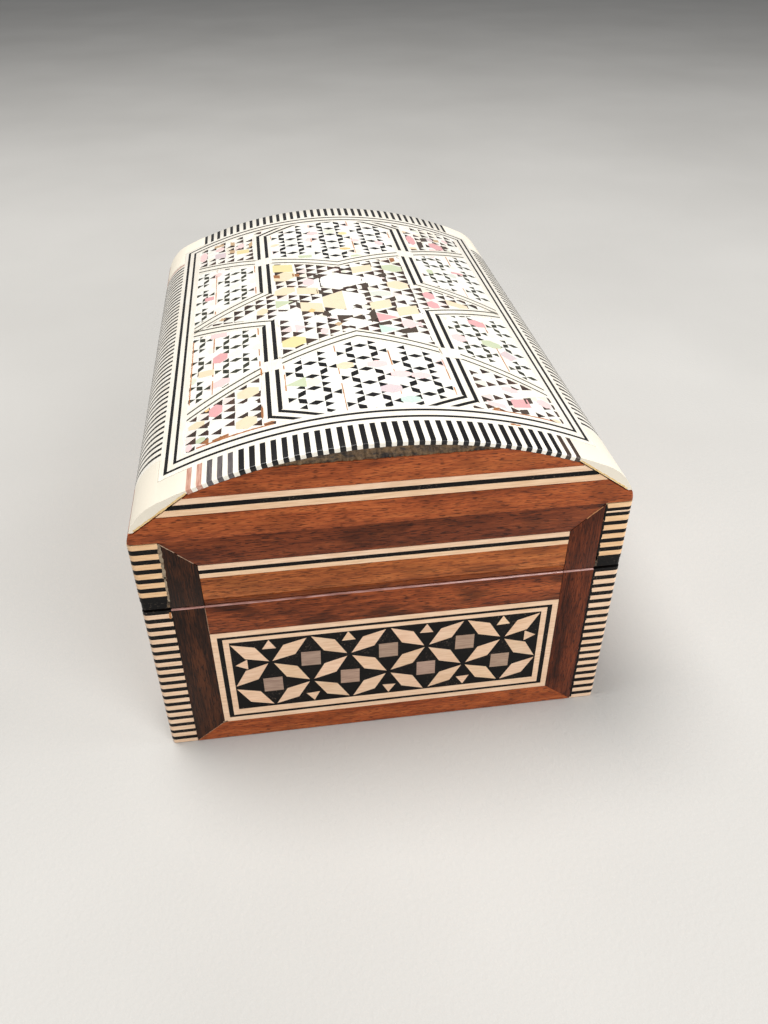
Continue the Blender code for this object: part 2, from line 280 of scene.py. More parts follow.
def smooth(piece: Piece, angle: float = 35) -> Piece:
    """Shades a piece smooth across edges that turn by less than an angle in degrees."""
    only(piece)
    bpy.ops.object.shade_smooth_by_angle(angle=math.radians(angle))
    return piece


def choose(piece: Piece, kind: str, wanted: Callable[[Sequence[Vector]], bool]) -> int:
    """Selects a piece's edges or faces by the places of their corners, and nothing else.

    Args:
        piece: The piece.
        kind: EDGE or FACE.
        wanted: Says of an edge's or face's corners whether it is wanted.

    Returns:
        How many were selected.
    """
    with editing(piece, whole=False):
        bpy.ops.mesh.select_mode(type=kind)
        bpy.ops.mesh.select_all(action="DESELECT")
    mesh = piece.data
    found = 0
    for part in (mesh.edges if kind == "EDGE" else mesh.polygons):
        if wanted([mesh.vertices[index].co for index in part.vertices]):
            part.select = True
            found += 1
    return found


def join(name: str, pieces: Sequence[Piece]) -> Piece:
    """Makes one piece of several.

    Args:
        name: The whole piece's name.
        pieces: The pieces.

    Returns:
        The whole.
    """
    only(pieces[0])
    for piece in pieces:
        piece.select_set(True)
    if len(pieces) > 1:
        bpy.ops.object.join()
    return named(bpy.context.view_layer.objects.active, name)


def turn(piece: Piece, side: Side) -> Piece:
    """Turns front work about the box's upright middle line to its own side."""
    only(piece)
    piece.rotation_euler = (0, 0, math.radians(side.value))
    bpy.ops.object.transform_apply(location=False, rotation=True, scale=False)
    return piece


def tinted(piece: Piece, tint: Colour) -> Piece:
    """Stains a piece: its finish is multiplied by this colour.

    Args:
        piece: The piece.
        tint: The stain.

    Returns:
        The piece.
    """
    layer = piece.data.color_attributes.get(TINT)
    if layer is None:
        layer = piece.data.color_attributes.new(TINT, "FLOAT_COLOR", "CORNER")
    layer.data.foreach_set("color", [*tint, 1.0] * len(layer.data))
    return piece


def stamp(pattern: Piece, spot: Spot, turned: float = 0.0, tint: Colour = (1, 1, 1)) -> Piece:
    """Lays a copy of a flat tile.

    Args:
        pattern: The tile to copy, over the origin.
        spot: Where its middle goes, in the flat layout.
        turned: How far it is turned, in degrees.
        tint: Its stain.

    Returns:
        The copy, which has its own mesh.
    """
    copy = pattern.copy()
    copy.data = pattern.data.copy()
    copy.data.transform(Matrix.Translation((*spot, 0)) @ Matrix.Rotation(math.radians(turned), 4, "Z"))
    bpy.context.scene.collection.objects.link(copy)
    return tinted(copy, tint)


def copy_of(node: str, name: str) -> Piece:
    """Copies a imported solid, with its loose triangles merged into clean faces.

    Args:
        node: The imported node.
        name: The copy's name.

    Returns:
        The copy.
    """
    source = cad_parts[node]
    copy = named(bpy.data.objects.new(name, source.data.copy()), name)
    copy.data.materials.clear()
    bpy.context.scene.collection.objects.link(copy)
    with editing(copy):
        bpy.ops.mesh.remove_doubles(threshold=0.002 * MM)
        bpy.ops.mesh.dissolve_limited(angle_limit=math.radians(0.5))
    if copy.data.has_custom_normals:
        bpy.ops.mesh.customdata_custom_splitnormals_clear()
    return copy


def discard(*pieces: Piece) -> None:
    """Clears patterns off the bench once their copies are laid."""
    for piece in pieces:
        bpy.data.objects.remove(piece)


def fit(piece: Piece, slot: str, *nodes: str) -> Piece:
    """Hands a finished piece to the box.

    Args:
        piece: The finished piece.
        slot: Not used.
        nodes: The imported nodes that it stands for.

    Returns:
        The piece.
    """
    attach(piece, ROOT)
    if nodes:
        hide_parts(*nodes)
    log.info("%s: %d faces", piece.name, len(piece.data.polygons))
    return piece


# The finishes: how pieces look.


class Recipe:
    """The node tree of one finish, while it is being mixed."""

    def __init__(self, name: str, roughness: float) -> None:
        """Starts a material.

        Args:
            name: The material's name.
            roughness: Its roughness, where nothing is linked to it.
        """
        self.material = bpy.data.materials.new(name)
        self.material.use_nodes = True
        self.tree = self.material.node_tree
        self.shader = self.tree.nodes["Principled BSDF"]
        self.shader.inputs["Roughness"].default_value = roughness
        self.coordinates = self.tree.nodes.new("ShaderNodeTexCoord").outputs["Object"]

    def node(self, kind: str, **inputs: object) -> bpy.types.Node:
        """Adds a node.

        Args:
            kind: The node's type, without its ShaderNode prefix.
            inputs: Values or sockets for its inputs, by name, with _ for a space.

        Returns:
            The node.
        """
        node = self.tree.nodes.new("ShaderNode" + kind)
        for key, value in inputs.items():
            socket = node.inputs[key.replace("_", " ")]
            if isinstance(value, Socket):
                self.tree.links.new(value, socket)
            else:
                socket.default_value = value
        return node

    def place(self, scale: Sequence[float], offset: Sequence[float] = (0, 0, 0)) -> Socket:
        """Object coordinates for a pattern with this many repeats per metre, moved by an offset."""
        mapping = self.node("Mapping", Vector=self.coordinates, Scale=tuple(scale), Location=tuple(offset))
        return mapping.outputs["Vector"]

    def noise(self, where: Socket, scale: float = 1.0, detail: float = 2.0,
              rough: float = 0.5, warp: float = 0.0) -> Socket:
        """Cloudy noise at these coordinates: clouds per unit, octaves, their strength and distortion."""
        node = self.node("TexNoise", Vector=where, Scale=scale, Detail=detail, Roughness=rough,
                         Distortion=warp)
        return node.outputs["Fac"]

    def ramp(self, value: Socket, stops: Iterable[tuple[float, Sequence[float]]]) -> Socket:
        """Turns a value into colours.

        Args:
            value: The value.
            stops: Pairs of a place and its colour.

        Returns:
            The colour.
        """
        node = self.node("ValToRGB", Fac=value)
        elements = node.color_ramp.elements
        for index, (at, colour) in enumerate(stops):
            element = elements[index] if index < 2 else elements.new(at)
            element.position = at
            element.color = (*colour, 1)
        return node.outputs["Color"]

    def grey(self, value: Socket, low: float, high: float, dark: float = 0.0, light: float = 1.0) -> Socket:
        """Stretches a value between two greys.

        Args:
            value: The value.
            low: What becomes dark.
            high: What becomes light.
            dark: The lowest outcome.
            light: The highest outcome.

        Returns:
            The stretched value.
        """
        node = self.node("MapRange", Value=value)
        for key, setting in (("From Min", low), ("From Max", high), ("To Min", dark), ("To Max", light)):
            node.inputs[key].default_value = setting
        return node.outputs["Result"]

    def blend(self, share: object, under: object, over: object, how: str = "MIX") -> Socket:
        """Mixes two colours.

        Args:
            share: How much of the second, as a number or socket.
            under: The first colour.
            over: The second colour.
            how: The way that they mix.

        Returns:
            The mixed colour.
        """
        node = self.tree.nodes.new("ShaderNodeMix")
        node.data_type = "RGBA"
        node.blend_type = how
        for index, value in ((0, share), (6, under), (7, over)):
            if isinstance(value, Socket):
                self.tree.links.new(value, node.inputs[index])
            elif index:
                node.inputs[index].default_value = (*value, 1)
            else:
                node.inputs[index].default_value = value
        return node.outputs[2]

    def stained(self, colour: Socket) -> Socket:
        """The colour under each tile's own stain."""
        stain = self.tree.nodes.new("ShaderNodeAttribute")
        stain.attribute_name = TINT
        return self.blend(1.0, colour, stain.outputs["Color"], "MULTIPLY")

    def dress(self, colour: Socket, rough: Optional[Socket] = None,
              height: Optional[Socket] = None, relief: float = 0.02 * MM,
              coat: float = 0.0, coat_rough: float = 0.1) -> bpy.types.Material:
        """Links the outcome to the shader.

        Args:
            colour: Base colour.
            rough: Roughness.
            height: Height for the bump.
            relief: How deep the bump is.
            coat: Weight of the varnish.
            coat_rough: Roughness of the varnish.

        Returns:
            The material.
        """
        self.tree.links.new(colour, self.shader.inputs["Base Color"])
        if rough is not None:
            self.tree.links.new(rough, self.shader.inputs["Roughness"])
        if height is not None:
            bump = self.node("Bump", Height=height, Distance=relief, Strength=1.0)
            self.tree.links.new(bump.outputs["Normal"], self.shader.inputs["Normal"])
        self.shader.inputs["Coat Weight"].default_value = coat
        self.shader.inputs["Coat Roughness"].default_value = coat_rough
        return self.material


@dataclass(frozen=True)
class Finish:
    """A finish, which is mixed once for all pieces that share it."""

    name: str

    def material(self) -> bpy.types.Material:
        """The finish's material, mixed when it is first needed."""
        return bpy.data.materials.get(self.name) or self.mixed()

    def mixed(self) -> bpy.types.Material:
        """Mixes the material, which each kind of finish does in its own way."""
        raise NotImplementedError


@dataclass(frozen=True)
class Wood(Finish):
    """Varnished wood with long fibres, darker figure and short open pores."""

    light: Colour
    middle: Colour
    dark: Colour
    grain: Grain
    start: float = 0.0
    pores: float = 0.75
    coat: float = 0.06
    blotches: float = 0.28
    specular: float = 0.14

    def along(self, length: float, width: float) -> tuple[float, float, float]:
        """Repeats per metre for a mark of this length along the grain and this width across it."""
        scale = [1 / width] * 3
        scale[self.grain.value] = 1 / length
        return scale[0], scale[1], scale[2]

    def mixed(self) -> bpy.types.Material:
        """Mixes the material.

        Returns:
            The material.
        """
        mix = Recipe(self.name, 0.35)
        mix.shader.inputs["Specular IOR Level"].default_value = self.specular
        offset = (self.start, self.start * 1.7, self.start * 0.6)
        figure = mix.noise(mix.place(self.along(26 * MM, 2.6 * MM), offset), 1, 3, 0.6, 0.6)
        fibre = mix.noise(mix.place(self.along(5 * MM, 0.28 * MM), offset), 1, 3, 0.65)
        pore = mix.noise(mix.place(self.along(1.6 * MM, 0.17 * MM), offset), 1, 1, 0.4)
        blotch = mix.noise(mix.place(self.along(9 * MM, 4 * MM), offset), 1, 2, 0.5, 0.4)
        tone = mix.node("Math", Value=figure)
        tone.operation = "ADD"
        mix.tree.links.new(mix.grey(fibre, 0.3, 0.7, -0.16, 0.16), tone.inputs[1])
        colour = mix.ramp(tone.outputs[0], ((0.24, self.dark), (0.50, self.middle), (0.74, self.light)))
        shade = mix.ramp(blotch, ((0.34, (1 - self.blotches,) * 3), (0.52, (1, 1, 1))))
        colour = mix.blend(1.0, colour, shade, "MULTIPLY")
        open_pore = mix.grey(pore, 0.36, 0.44, self.pores, 0.0)
        colour = mix.blend(open_pore, colour, tuple(c * 0.35 for c in self.dark))
        rough = mix.grey(fibre, 0.3, 0.7, 0.42, 0.30)
        height = mix.grey(pore, 0.28, 0.42, 0.0, 1.0)
        return mix.dress(mix.stained(colour), rough, height, 0.03 * MM, self.coat, 0.18)


@dataclass(frozen=True)
class Inlay(Finish):
    """Fine close wood for strings, stripes and mosaic pieces."""

    colour: Colour
    shade: Colour
    grain: Grain
    roughness: float = 0.38
    coat: float = 0.3
    specks: Colour = (0.0, 0.0, 0.0)
    speck_share: float = 0.0
    specular: float = 0.5

    def mixed(self) -> bpy.types.Material:
        """Mixes the material.

        Returns:
            The material.
        """
        mix = Recipe(self.name, self.roughness)
        mix.shader.inputs["Specular IOR Level"].default_value = self.specular
        scale = [1 / (0.30 * MM)] * 3
        scale[self.grain.value] = 1 / (4 * MM)
        fibre = mix.noise(mix.place(scale), 1, 3, 0.6)
        cloud = mix.noise(mix.place([1 / (5 * MM)] * 3), 1, 2, 0.5)
        colour = mix.ramp(fibre, ((0.30, self.shade), (0.62, self.colour)))
        colour = mix.blend(mix.grey(cloud, 0.4, 0.75, 0.0, 0.35), colour, self.shade)
        if self.speck_share:
            dust = mix.noise(mix.place([1 / (0.35 * MM)] * 3), 1, 2, 0.7)
            patch = mix.noise(mix.place([1 / (7 * MM)] * 3, (3, 1, 2)), 1, 1, 0.5)
            share = mix.node("Math", Value=mix.grey(dust, 0.60, 0.72, 0.0, self.speck_share))
            share.operation = "MULTIPLY"
            mix.tree.links.new(mix.grey(patch, 0.45, 0.62), share.inputs[1])
            colour = mix.blend(share.outputs[0], colour, self.specks)
        rough = mix.grey(fibre, 0.3, 0.7, self.roughness + 0.08, self.roughness - 0.06)
        return mix.dress(mix.stained(colour), rough, fibre, 0.012 * MM, self.coat, 0.2)


@dataclass(frozen=True)
class Pearl(Finish):
    """Mother-of-pearl: white, with soft shifts of pink, green and blue in wavy growth lines."""

    strength: float = 0.30

    def mixed(self) -> bpy.types.Material:
        """Mixes the material.

        Returns:
            The material.
        """
        mix = Recipe(self.name, 0.2)
        where = mix.place([1 / (3.2 * MM)] * 3)
        drift = mix.noise(where, 1, 3, 0.55, 1.6)
        lustre = mix.ramp(drift, ((0.28, srgb(244, 214, 208)), (0.42, srgb(253, 248, 238)),
                                  (0.52, srgb(236, 242, 226)), (0.62, srgb(228, 235, 240)),
                                  (0.74, srgb(253, 242, 222))))
        colour = mix.blend(self.strength, srgb(253, 250, 243), lustre)
        layers = mix.noise(mix.place([1 / (0.9 * MM), 1 / (2.5 * MM), 1 / (1.6 * MM)]), 1, 2, 0.6, 2.0)
        colour = mix.blend(mix.grey(layers, 0.35, 0.75, 0.0, 0.18), colour, srgb(222, 206, 184))
        rough = mix.grey(layers, 0.3, 0.7, 0.22, 0.34)
        return mix.dress(mix.stained(colour), rough, layers, 0.01 * MM, 0.25, 0.15)


@dataclass(frozen=True)
class Bone(Finish):
    """Polished bone, with faint lengthwise streaks."""

    colour: Colour
    streak: Colour

    def mixed(self) -> bpy.types.Material:
        """Mixes the material.

        Returns:
            The material.
        """
        mix = Recipe(self.name, 0.24)
        streaks = mix.noise(mix.place([1 / (0.5 * MM), 1 / (6 * MM), 1 / (0.8 * MM)]), 1, 3, 0.6, 0.3)
        cloud = mix.noise(mix.place([1 / (6 * MM)] * 3), 1, 2, 0.5)
        colour = mix.ramp(streaks, ((0.30, self.streak), (0.56, self.colour)))
        colour = mix.blend(mix.grey(cloud, 0.45, 0.8, 0.0, 0.4), colour, self.streak)
        return mix.dress(colour, mix.grey(cloud, 0.3, 0.7, 0.18, 0.30), streaks, 0.008 * MM, 0.4, 0.08)


@dataclass(frozen=True)
class Putty(Finish):
    """Old filler and dirt: matt, mottled and gritty."""

    light: Colour
    dark: Colour
    grit: float = 0.9

    def mixed(self) -> bpy.types.Material:
        """Mixes the material.

        Returns:
            The material.
        """
        mix = Recipe(self.name, 0.7)
        lumps = mix.noise(mix.place([1 / (2.4 * MM), 1 / (2 * MM), 1 / (1.2 * MM)]), 1, 4, 0.65, 0.5)
        grains = mix.noise(mix.place([1 / (self.grit * 0.3 * MM)] * 3), 1, 2, 0.7)
        colour = mix.ramp(lumps, ((0.36, self.dark), (0.60, self.light)))
        colour = mix.blend(mix.grey(grains, 0.5, 0.75, 0.0, 0.5), colour, self.dark)
        return mix.dress(colour, mix.grey(grains, 0.3, 0.7, 0.55, 0.85), grains, 0.05 * MM)


def each_grain(kind: type, name: str, *tones: Colour, **values: object) -> dict[Grain, Finish]:
    """A finish for each way that the grain can run."""
    return {grain: kind(f"{name}_{grain.name.lower()}", *tones, grain, **values) for grain in Grain}


MAHOGANY = each_grain(Wood, "mahogany", srgb(190, 104, 56), srgb(164, 82, 43), srgb(118, 54, 29), start=1.0)
RED_RAIL = each_grain(Wood, "red_rail", srgb(148, 76, 40), srgb(120, 56, 29), srgb(70, 31, 17), start=5.0,
                      blotches=0.45)
BLOTCHED_RAIL = each_grain(Wood, "blotched_rail", srgb(172, 90, 46), srgb(140, 67, 34), srgb(74, 33, 17),
                           start=12.0, blotches=0.62)
ORANGE_RAIL = each_grain(Wood, "orange_rail", srgb(196, 116, 62), srgb(172, 94, 48), srgb(128, 64, 33),
                         start=9.0, pores=0.7)
# Walnut of the left stiles: darker than the right stiles' walnut, partly its own tone and partly painted
# shade for the light falling off towards the left.
LEFT_WALNUT_AND_SHADE = Wood("dark_walnut", srgb(84, 45, 24), srgb(48, 25, 14), srgb(22, 11, 7), Grain.UPRIGHT, 2.0)
RED_WALNUT = Wood("red_walnut", srgb(130, 62, 33), srgb(94, 42, 22), srgb(46, 20, 11), Grain.UPRIGHT, 7.0)
CARCASS = Wood("carcass_wood", srgb(178, 132, 88), srgb(150, 104, 66), srgb(112, 72, 44), Grain.ALONG, 3.0)
CREAM = each_grain(Inlay, "cream_wood", srgb(250, 216, 184), srgb(230, 188, 150))
EBONY = each_grain(Inlay, "ebony", srgb(15, 13, 13), srgb(7, 6, 6), roughness=0.40, coat=0.0,
                   specks=srgb(128, 112, 98), speck_share=0.6, specular=0.14)
BEIGE = each_grain(Inlay, "beige_wood", srgb(184, 154, 134), srgb(152, 122, 104))
# Pale pinkish colour of the base's rounded rim: partly worn lacquer, partly a painted highlight along the
# split line.
RIM_WEAR_AND_HIGHLIGHT = each_grain(Inlay, "worn_rim", srgb(222, 172, 162), srgb(132, 70, 54), roughness=0.25, coat=0.6)
WHITE_LINE = Inlay("white_inlay", srgb(252, 248, 238), srgb(240, 230, 212), Grain.ALONG, 0.26, 0.45)
BLACK_LINE = Inlay("black_inlay", srgb(22, 20, 21), srgb(12, 11, 12), Grain.ALONG, 0.32, 0.2, specular=0.3)
GREY_LINE = Inlay("grey_inlay", srgb(78, 78, 64), srgb(48, 48, 40), Grain.ALONG, 0.34, 0.2)
OLIVE_LINE = Inlay("olive_inlay", srgb(62, 62, 46), srgb(30, 31, 25), Grain.ALONG, 0.34, 0.2)
WORN_LINE = Inlay("worn_inlay", srgb(104, 96, 96), srgb(62, 58, 60), Grain.ALONG, 0.40, 0.2)
BROWN_TILE = Inlay("brown_tile", srgb(74, 56, 46), srgb(44, 33, 27), Grain.ALONG, 0.34, 0.2)
RED_LINE = Inlay("red_inlay", srgb(214, 170, 150), srgb(168, 108, 88), Grain.ALONG, 0.32, 0.3)
GLUE = Inlay("old_glue", srgb(206, 142, 88), srgb(150, 92, 54), Grain.ALONG, 0.4, 0.2)
PALE_GLUE = Inlay("pale_glue", srgb(206, 176, 150), srgb(150, 118, 94), Grain.ALONG, 0.5, 0.0)
PEARL = Pearl("pearl")
BONE = Bone("bone", srgb(255, 252, 242), srgb(248, 239, 218))
YELLOW_BONE = Bone("yellowed_bone", srgb(240, 208, 146), srgb(214, 168, 100))
FILLER = Putty("old_filler", srgb(120, 94, 64), srgb(40, 33, 30))
GREY_PUTTY = Putty("grey_putty", srgb(168, 150, 126), srgb(112, 92, 72))


def paint(piece: Piece, *finishes: Finish) -> Piece:
    """Gives a piece its finishes, one for each slot.

    Args:
        piece: The piece.
        finishes: Its finishes.

    Returns:
        The piece.
    """
    piece.data.materials.clear()
    for finish in finishes:
        piece.data.materials.append(finish.material())
    if piece.data.color_attributes.get(TINT) is None:
        tinted(piece, (1, 1, 1))
    return piece


# The vault's section, which flat work is bent onto.


@dataclass(frozen=True)
class Vault:
    """The lid's cross section: a wide crown between two tight haunches over the upright walls."""

    top: float = 77.0 * MM
    crown_radius: float = 103.0 * MM
    haunch_radius: float = 12.0 * MM
    half_width: float = HALF_WIDTH
    reach: float = 64.0 * MM
    guide_points: int = 640

    @property
    def crown_centre(self) -> float:
        """Height of the crown's centre."""
        return self.top - self.crown_radius

    @property
    def haunch_x(self) -> float:
        """Distance of a haunch's centre from the middle."""
        return self.half_width - self.haunch_radius

    @property
    def crown_angle(self) -> float:
        """Half the crown's angle."""
        return math.asin(self.haunch_x / (self.crown_radius - self.haunch_radius))

    @property
    def haunch_z(self) -> float:
        """Height of a haunch's centre."""
        return self.crown_centre + (self.crown_radius - self.haunch_radius) * math.cos(self.crown_angle)

    @property
    def crown_run(self) -> float:
        """Run along the surface from the middle to where the crown ends."""
        return self.crown_radius * self.crown_angle

    def point(self, run: float) -> tuple[float, float]:
        """The place on the section at a run along it.

        Args:
            run: Distance along the surface from the middle, positive to the right.

        Returns:
            Its x and z.
        """
        distance = abs(run)
        wall_run = self.crown_run + self.haunch_radius * (math.pi / 2 - self.crown_angle)
        if distance <= self.crown_run:
            angle = distance / self.crown_radius
            x = self.crown_radius * math.sin(angle)
            z = self.crown_centre + self.crown_radius * math.cos(angle)
        elif distance <= wall_run:
            angle = self.crown_angle + (distance - self.crown_run) / self.haunch_radius
            x = self.haunch_x + self.haunch_radius * math.sin(angle)
            z = self.haunch_z + self.haunch_radius * math.cos(angle)
        else:
            x, z = self.half_width, self.haunch_z - (distance - wall_run)
        return math.copysign(x, run), z

    def guide(self) -> Piece:
        """The curve that flat work is bent along: its points turn the work's upper face outwards.

        Returns:
            The curve's object, which is kept for the next piece.
        """
        if "vault_guide" in bpy.data.objects:
            return bpy.data.objects["vault_guide"]
        curve = bpy.data.curves.new("vault_guide", "CURVE")
        curve.dimensions = "3D"
        spline = curve.splines.new("POLY")
        spline.points.add(self.guide_points)
        for index, point in enumerate(spline.points):
            x, z = self.point(self.reach * (2 * index / self.guide_points - 1))
            point.co = (x, 0, z, 1)
            point.tilt = -math.pi / 2
        guide = bpy.data.objects.new("vault_guide", curve)
        bpy.context.scene.collection.objects.link(guide)
        return guide

    def bend(self, piece: Piece) -> Piece:
        """Bends a flat piece onto the vault: its x becomes the run, its z the height over the surface.

        Args:
            piece: A flat piece, with its upper face near z = 0.

        Returns:
            The piece, on the vault.
        """
        only(piece)
        piece.location.x = self.reach
        bpy.ops.object.transform_apply(location=True, rotation=False, scale=False)
        wrap = piece.modifiers.new("wrap", "CURVE")
        wrap.object = self.guide()
        wrap.deform_axis = "POS_X"
        bpy.ops.object.modifier_apply(modifier=wrap.name)
        return piece

    def clear(self) -> None:
        """Puts the guide away, once all is bent."""
        bpy.data.curves.remove(bpy.data.curves["vault_guide"])


VAULT = Vault()


def slab(name: str, low: Spot, high: Spot, top: float, finish: Optional[Finish] = None,
         depth: float = TILE_DEPTH) -> Piece:
    """A slab that lies square in the flat layout, from its lowest to its highest run and y."""
    piece = cuboid(name, (*low, top - depth), (*high, top))
    return paint(piece, finish) if finish else piece


def lath(name: str, start: Spot, end: Spot, offset: float, width: float, top: float,
         finish: Finish, spare: float = 3.0 * MM) -> Piece:
    """A straight lath of the vault's layout, in any direction.

    Args:
        name: The lath's name.
        start: Where its line starts.
        end: Where it ends.
        offset: How far the lath lies to the left of the line.
        width: Its width.
        top: Its upper face, over the surface.
        finish: Its finish.
        spare: Length left over at each end.

    Returns:
        The lath.
    """
    a, b = Vector(start), Vector(end)
    way = b - a
    piece = cuboid(name, (-way.length / 2 - spare, offset - width / 2, top - TILE_DEPTH),
                   (way.length / 2 + spare, offset + width / 2, top))
    piece.rotation_euler = (0, 0, math.atan2(way.y, way.x))
    piece.location = (*((a + b) / 2), 0)
    settle(piece, name)
    return paint(piece, finish)


def inside(spot: Spot, outline: Sequence[Spot]) -> bool:
    """Whether a spot lies in a closed outline.

    Args:
        spot: The spot.
        outline: The outline's corners in order.

    Returns:
        True if it does.
    """
    x, y = spot
    within = False
    for (ax, ay), (bx, by) in zip(outline, [*outline[1:], outline[0]]):
        if (ay > y) != (by > y) and x < ax + (y - ay) * (bx - ax) / (by - ay):
            within = not within
    return within


# The walls of the base.


@dataclass
class MosaicPanel:
    """The panel in a base wall: strings round a field of cream rhombi on black."""

    half_run: float
    half_steps: int
    seed: int
    bottom: float = 5.62 * MM
    top: float = 33.28 * MM
    outer_light: float = 1.25 * MM
    black_beside: float = 1.05 * MM
    black_over: float = 0.72 * MM
    field_half_cut: float = 3.55 * MM
    field_bottom: float = 9.3 * MM
    field_top: float = 30.25 * MM
    rhombus_long: float = 9.7 * MM
    rhombus_short: float = 3.9 * MM
    square: float = 4.2 * MM
    triangle: float = 1.72 * MM
    rows: int = 3
    slack: float = 0.12 * MM
    depth: float = 0.5 * MM              # thickness of the tiles and strings
    rhombus_top: float = -0.02 * MM      # upper faces of the tiles, under the strings' face
    square_top: float = -0.03 * MM
    triangle_top: float = -0.025 * MM
    head: float = 0.15 * MM              # what the strings hide of the outer rows
    cut_off: float = 0.25 * MM           # what they hide of the outer columns
    upper_triangle: float = 1.75 * MM    # how far the triangles lie from the field's edges
    lower_triangle: float = 1.85 * MM
    end_triangle: float = 2.6 * MM
    tuck: float = 0.2 * MM               # how far the ground stays inside the panel's edge

    def ring(self, name: str, outer: tuple[float, float, float], inner: tuple[float, float, float],
             height: float, grain: Grain) -> Piece:
        """A mitred frame lying flat: two rectangles, bridged and thickened.

        Args:
            name: Its name.
            outer: Half its length, its lowest and its highest edge.
            inner: The same for its opening.
            height: Its upper face.
            grain: Which finish it takes.

        Returns:
            The frame.
        """
        loops = []
        for half, low, high in (outer, inner):
            bpy.ops.mesh.primitive_plane_add(size=1, location=(0, (low + high) / 2, height))
            plane = bpy.context.object
            plane.scale = (2 * half, high - low, 1)
            loops.append(settle(plane, name))
        ring = join(name, loops)
        with editing(ring):
            bpy.ops.mesh.delete(type="ONLY_FACE")
            bpy.ops.mesh.select_all(action="SELECT")
            bpy.ops.mesh.bridge_edge_loops()
            bpy.ops.mesh.select_all(action="SELECT")
            bpy.ops.mesh.normals_make_consistent(inside=False)
        thick = ring.modifiers.new("thick", "SOLIDIFY")
        thick.thickness = self.depth
        thick.offset = -1 if ring.data.polygons[0].normal.z > 0 else 1
        bpy.ops.object.modifier_apply(modifier=thick.name)
        return paint(ring, CREAM[grain])

    def field(self) -> list[Piece]:
        """Lays the rhombi, squares and triangles.

        Returns:
            The tiles, flat, with x along the wall and y up it.
        """
        hand = random.Random(self.seed)
        step = (self.half_run - self.field_half_cut + self.cut_off) / self.half_steps
        rise = (self.field_top - self.field_bottom - 2 * self.head) / self.rows
        rhombus = prism("rhombus", 4, 0.5, self.rhombus_top, self.depth)
        rhombus.scale = (self.rhombus_long, self.rhombus_short, 1)
        paint(settle(rhombus, "rhombus"), CREAM[Grain.ACROSS])
        square = prism("square", 4, self.square / math.sqrt(2), self.square_top, self.depth)
        square.rotation_euler = (0, 0, math.pi / 4)
        paint(settle(square, "square"), BEIGE[Grain.ACROSS])
        triangle = prism("triangle", 3, self.triangle, self.triangle_top, self.depth)
        paint(triangle, CREAM[Grain.ACROSS])

        def near(x: float, y: float) -> Spot:
            """A spot, as near as the hand lays it."""
            return x + hand.uniform(-1, 1) * self.slack, y + hand.uniform(-1, 1) * self.slack

        def shade() -> Colour:
            """A slightly different wood for each tile."""
            value = hand.uniform(0.88, 1.0)
            return value, value * hand.uniform(0.96, 1.0), value * hand.uniform(0.92, 1.0)

        tiles = []
        for row in range(self.rows + 1):
            y = self.field_top - self.head - row * rise
            for k in range(-self.half_steps, self.half_steps + 1):
                if (k + row) % 2 == 0:
                    for way in (-1, 1):
                        if row < self.rows and abs(k + way) <= self.half_steps:
                            slope = math.degrees(math.atan2(-rise, way * step))
                            tiles.append(stamp(rhombus, near((k + way / 2) * step, y - rise / 2),
                                               slope + hand.uniform(-1.5, 1.5), shade()))
                elif row in (1, 2) and abs(k) < self.half_steps:
                    tiles.append(stamp(square, near(k * step, y), hand.uniform(-2, 2), shade()))
                elif row == 0 and abs(k) < self.half_steps:
                    spot = near(k * step, y - self.upper_triangle)
                    tiles.append(stamp(triangle, spot, 90 + hand.uniform(-3, 3), shade()))
                elif row == self.rows and abs(k) < self.half_steps:
                    spot = near(k * step, y + self.lower_triangle)
                    tiles.append(stamp(triangle, spot, -90 + hand.uniform(-5, 5), shade()))
                elif row == 1:
                    spot = near(k * step - math.copysign(self.end_triangle, k), y)
                    tiles.append(stamp(triangle, spot, 180 if k < 0 else 0, shade()))
        discard(rhombus, square, triangle)
        return tiles

    def build(self, face: float) -> Piece:
        """Makes the panel at the front.

        Args:
            face: Distance of the wall's outer face from the middle.

        Returns:
            The panel, standing at -face.
        """
        grain = Grain.ACROSS
        reach = self.half_run - self.tuck
        ground = cuboid("ground", (-reach, self.bottom + self.tuck, -FACING),
                        (reach, self.top - self.tuck, -0.05 * MM))
        paint(ground, EBONY[grain])
        light = self.outer_light
        outer = self.ring("outer_string", (self.half_run, self.bottom, self.top),
                          (self.half_run - light, self.bottom + light, self.top - light), 0.0, grain)
        beside, over = light + self.black_beside, light + self.black_over
        inner = self.ring("inner_string", (self.half_run - beside, self.bottom + over, self.top - over),
                          (self.half_run - self.field_half_cut, self.field_bottom, self.field_top),
                          -0.005 * MM, grain)
        panel = join("panel", [ground, outer, inner, *self.field()])
        panel.rotation_euler = (math.pi / 2, 0, 0)
        panel.location = (0, -face, 0)
        return settle(panel, "panel")


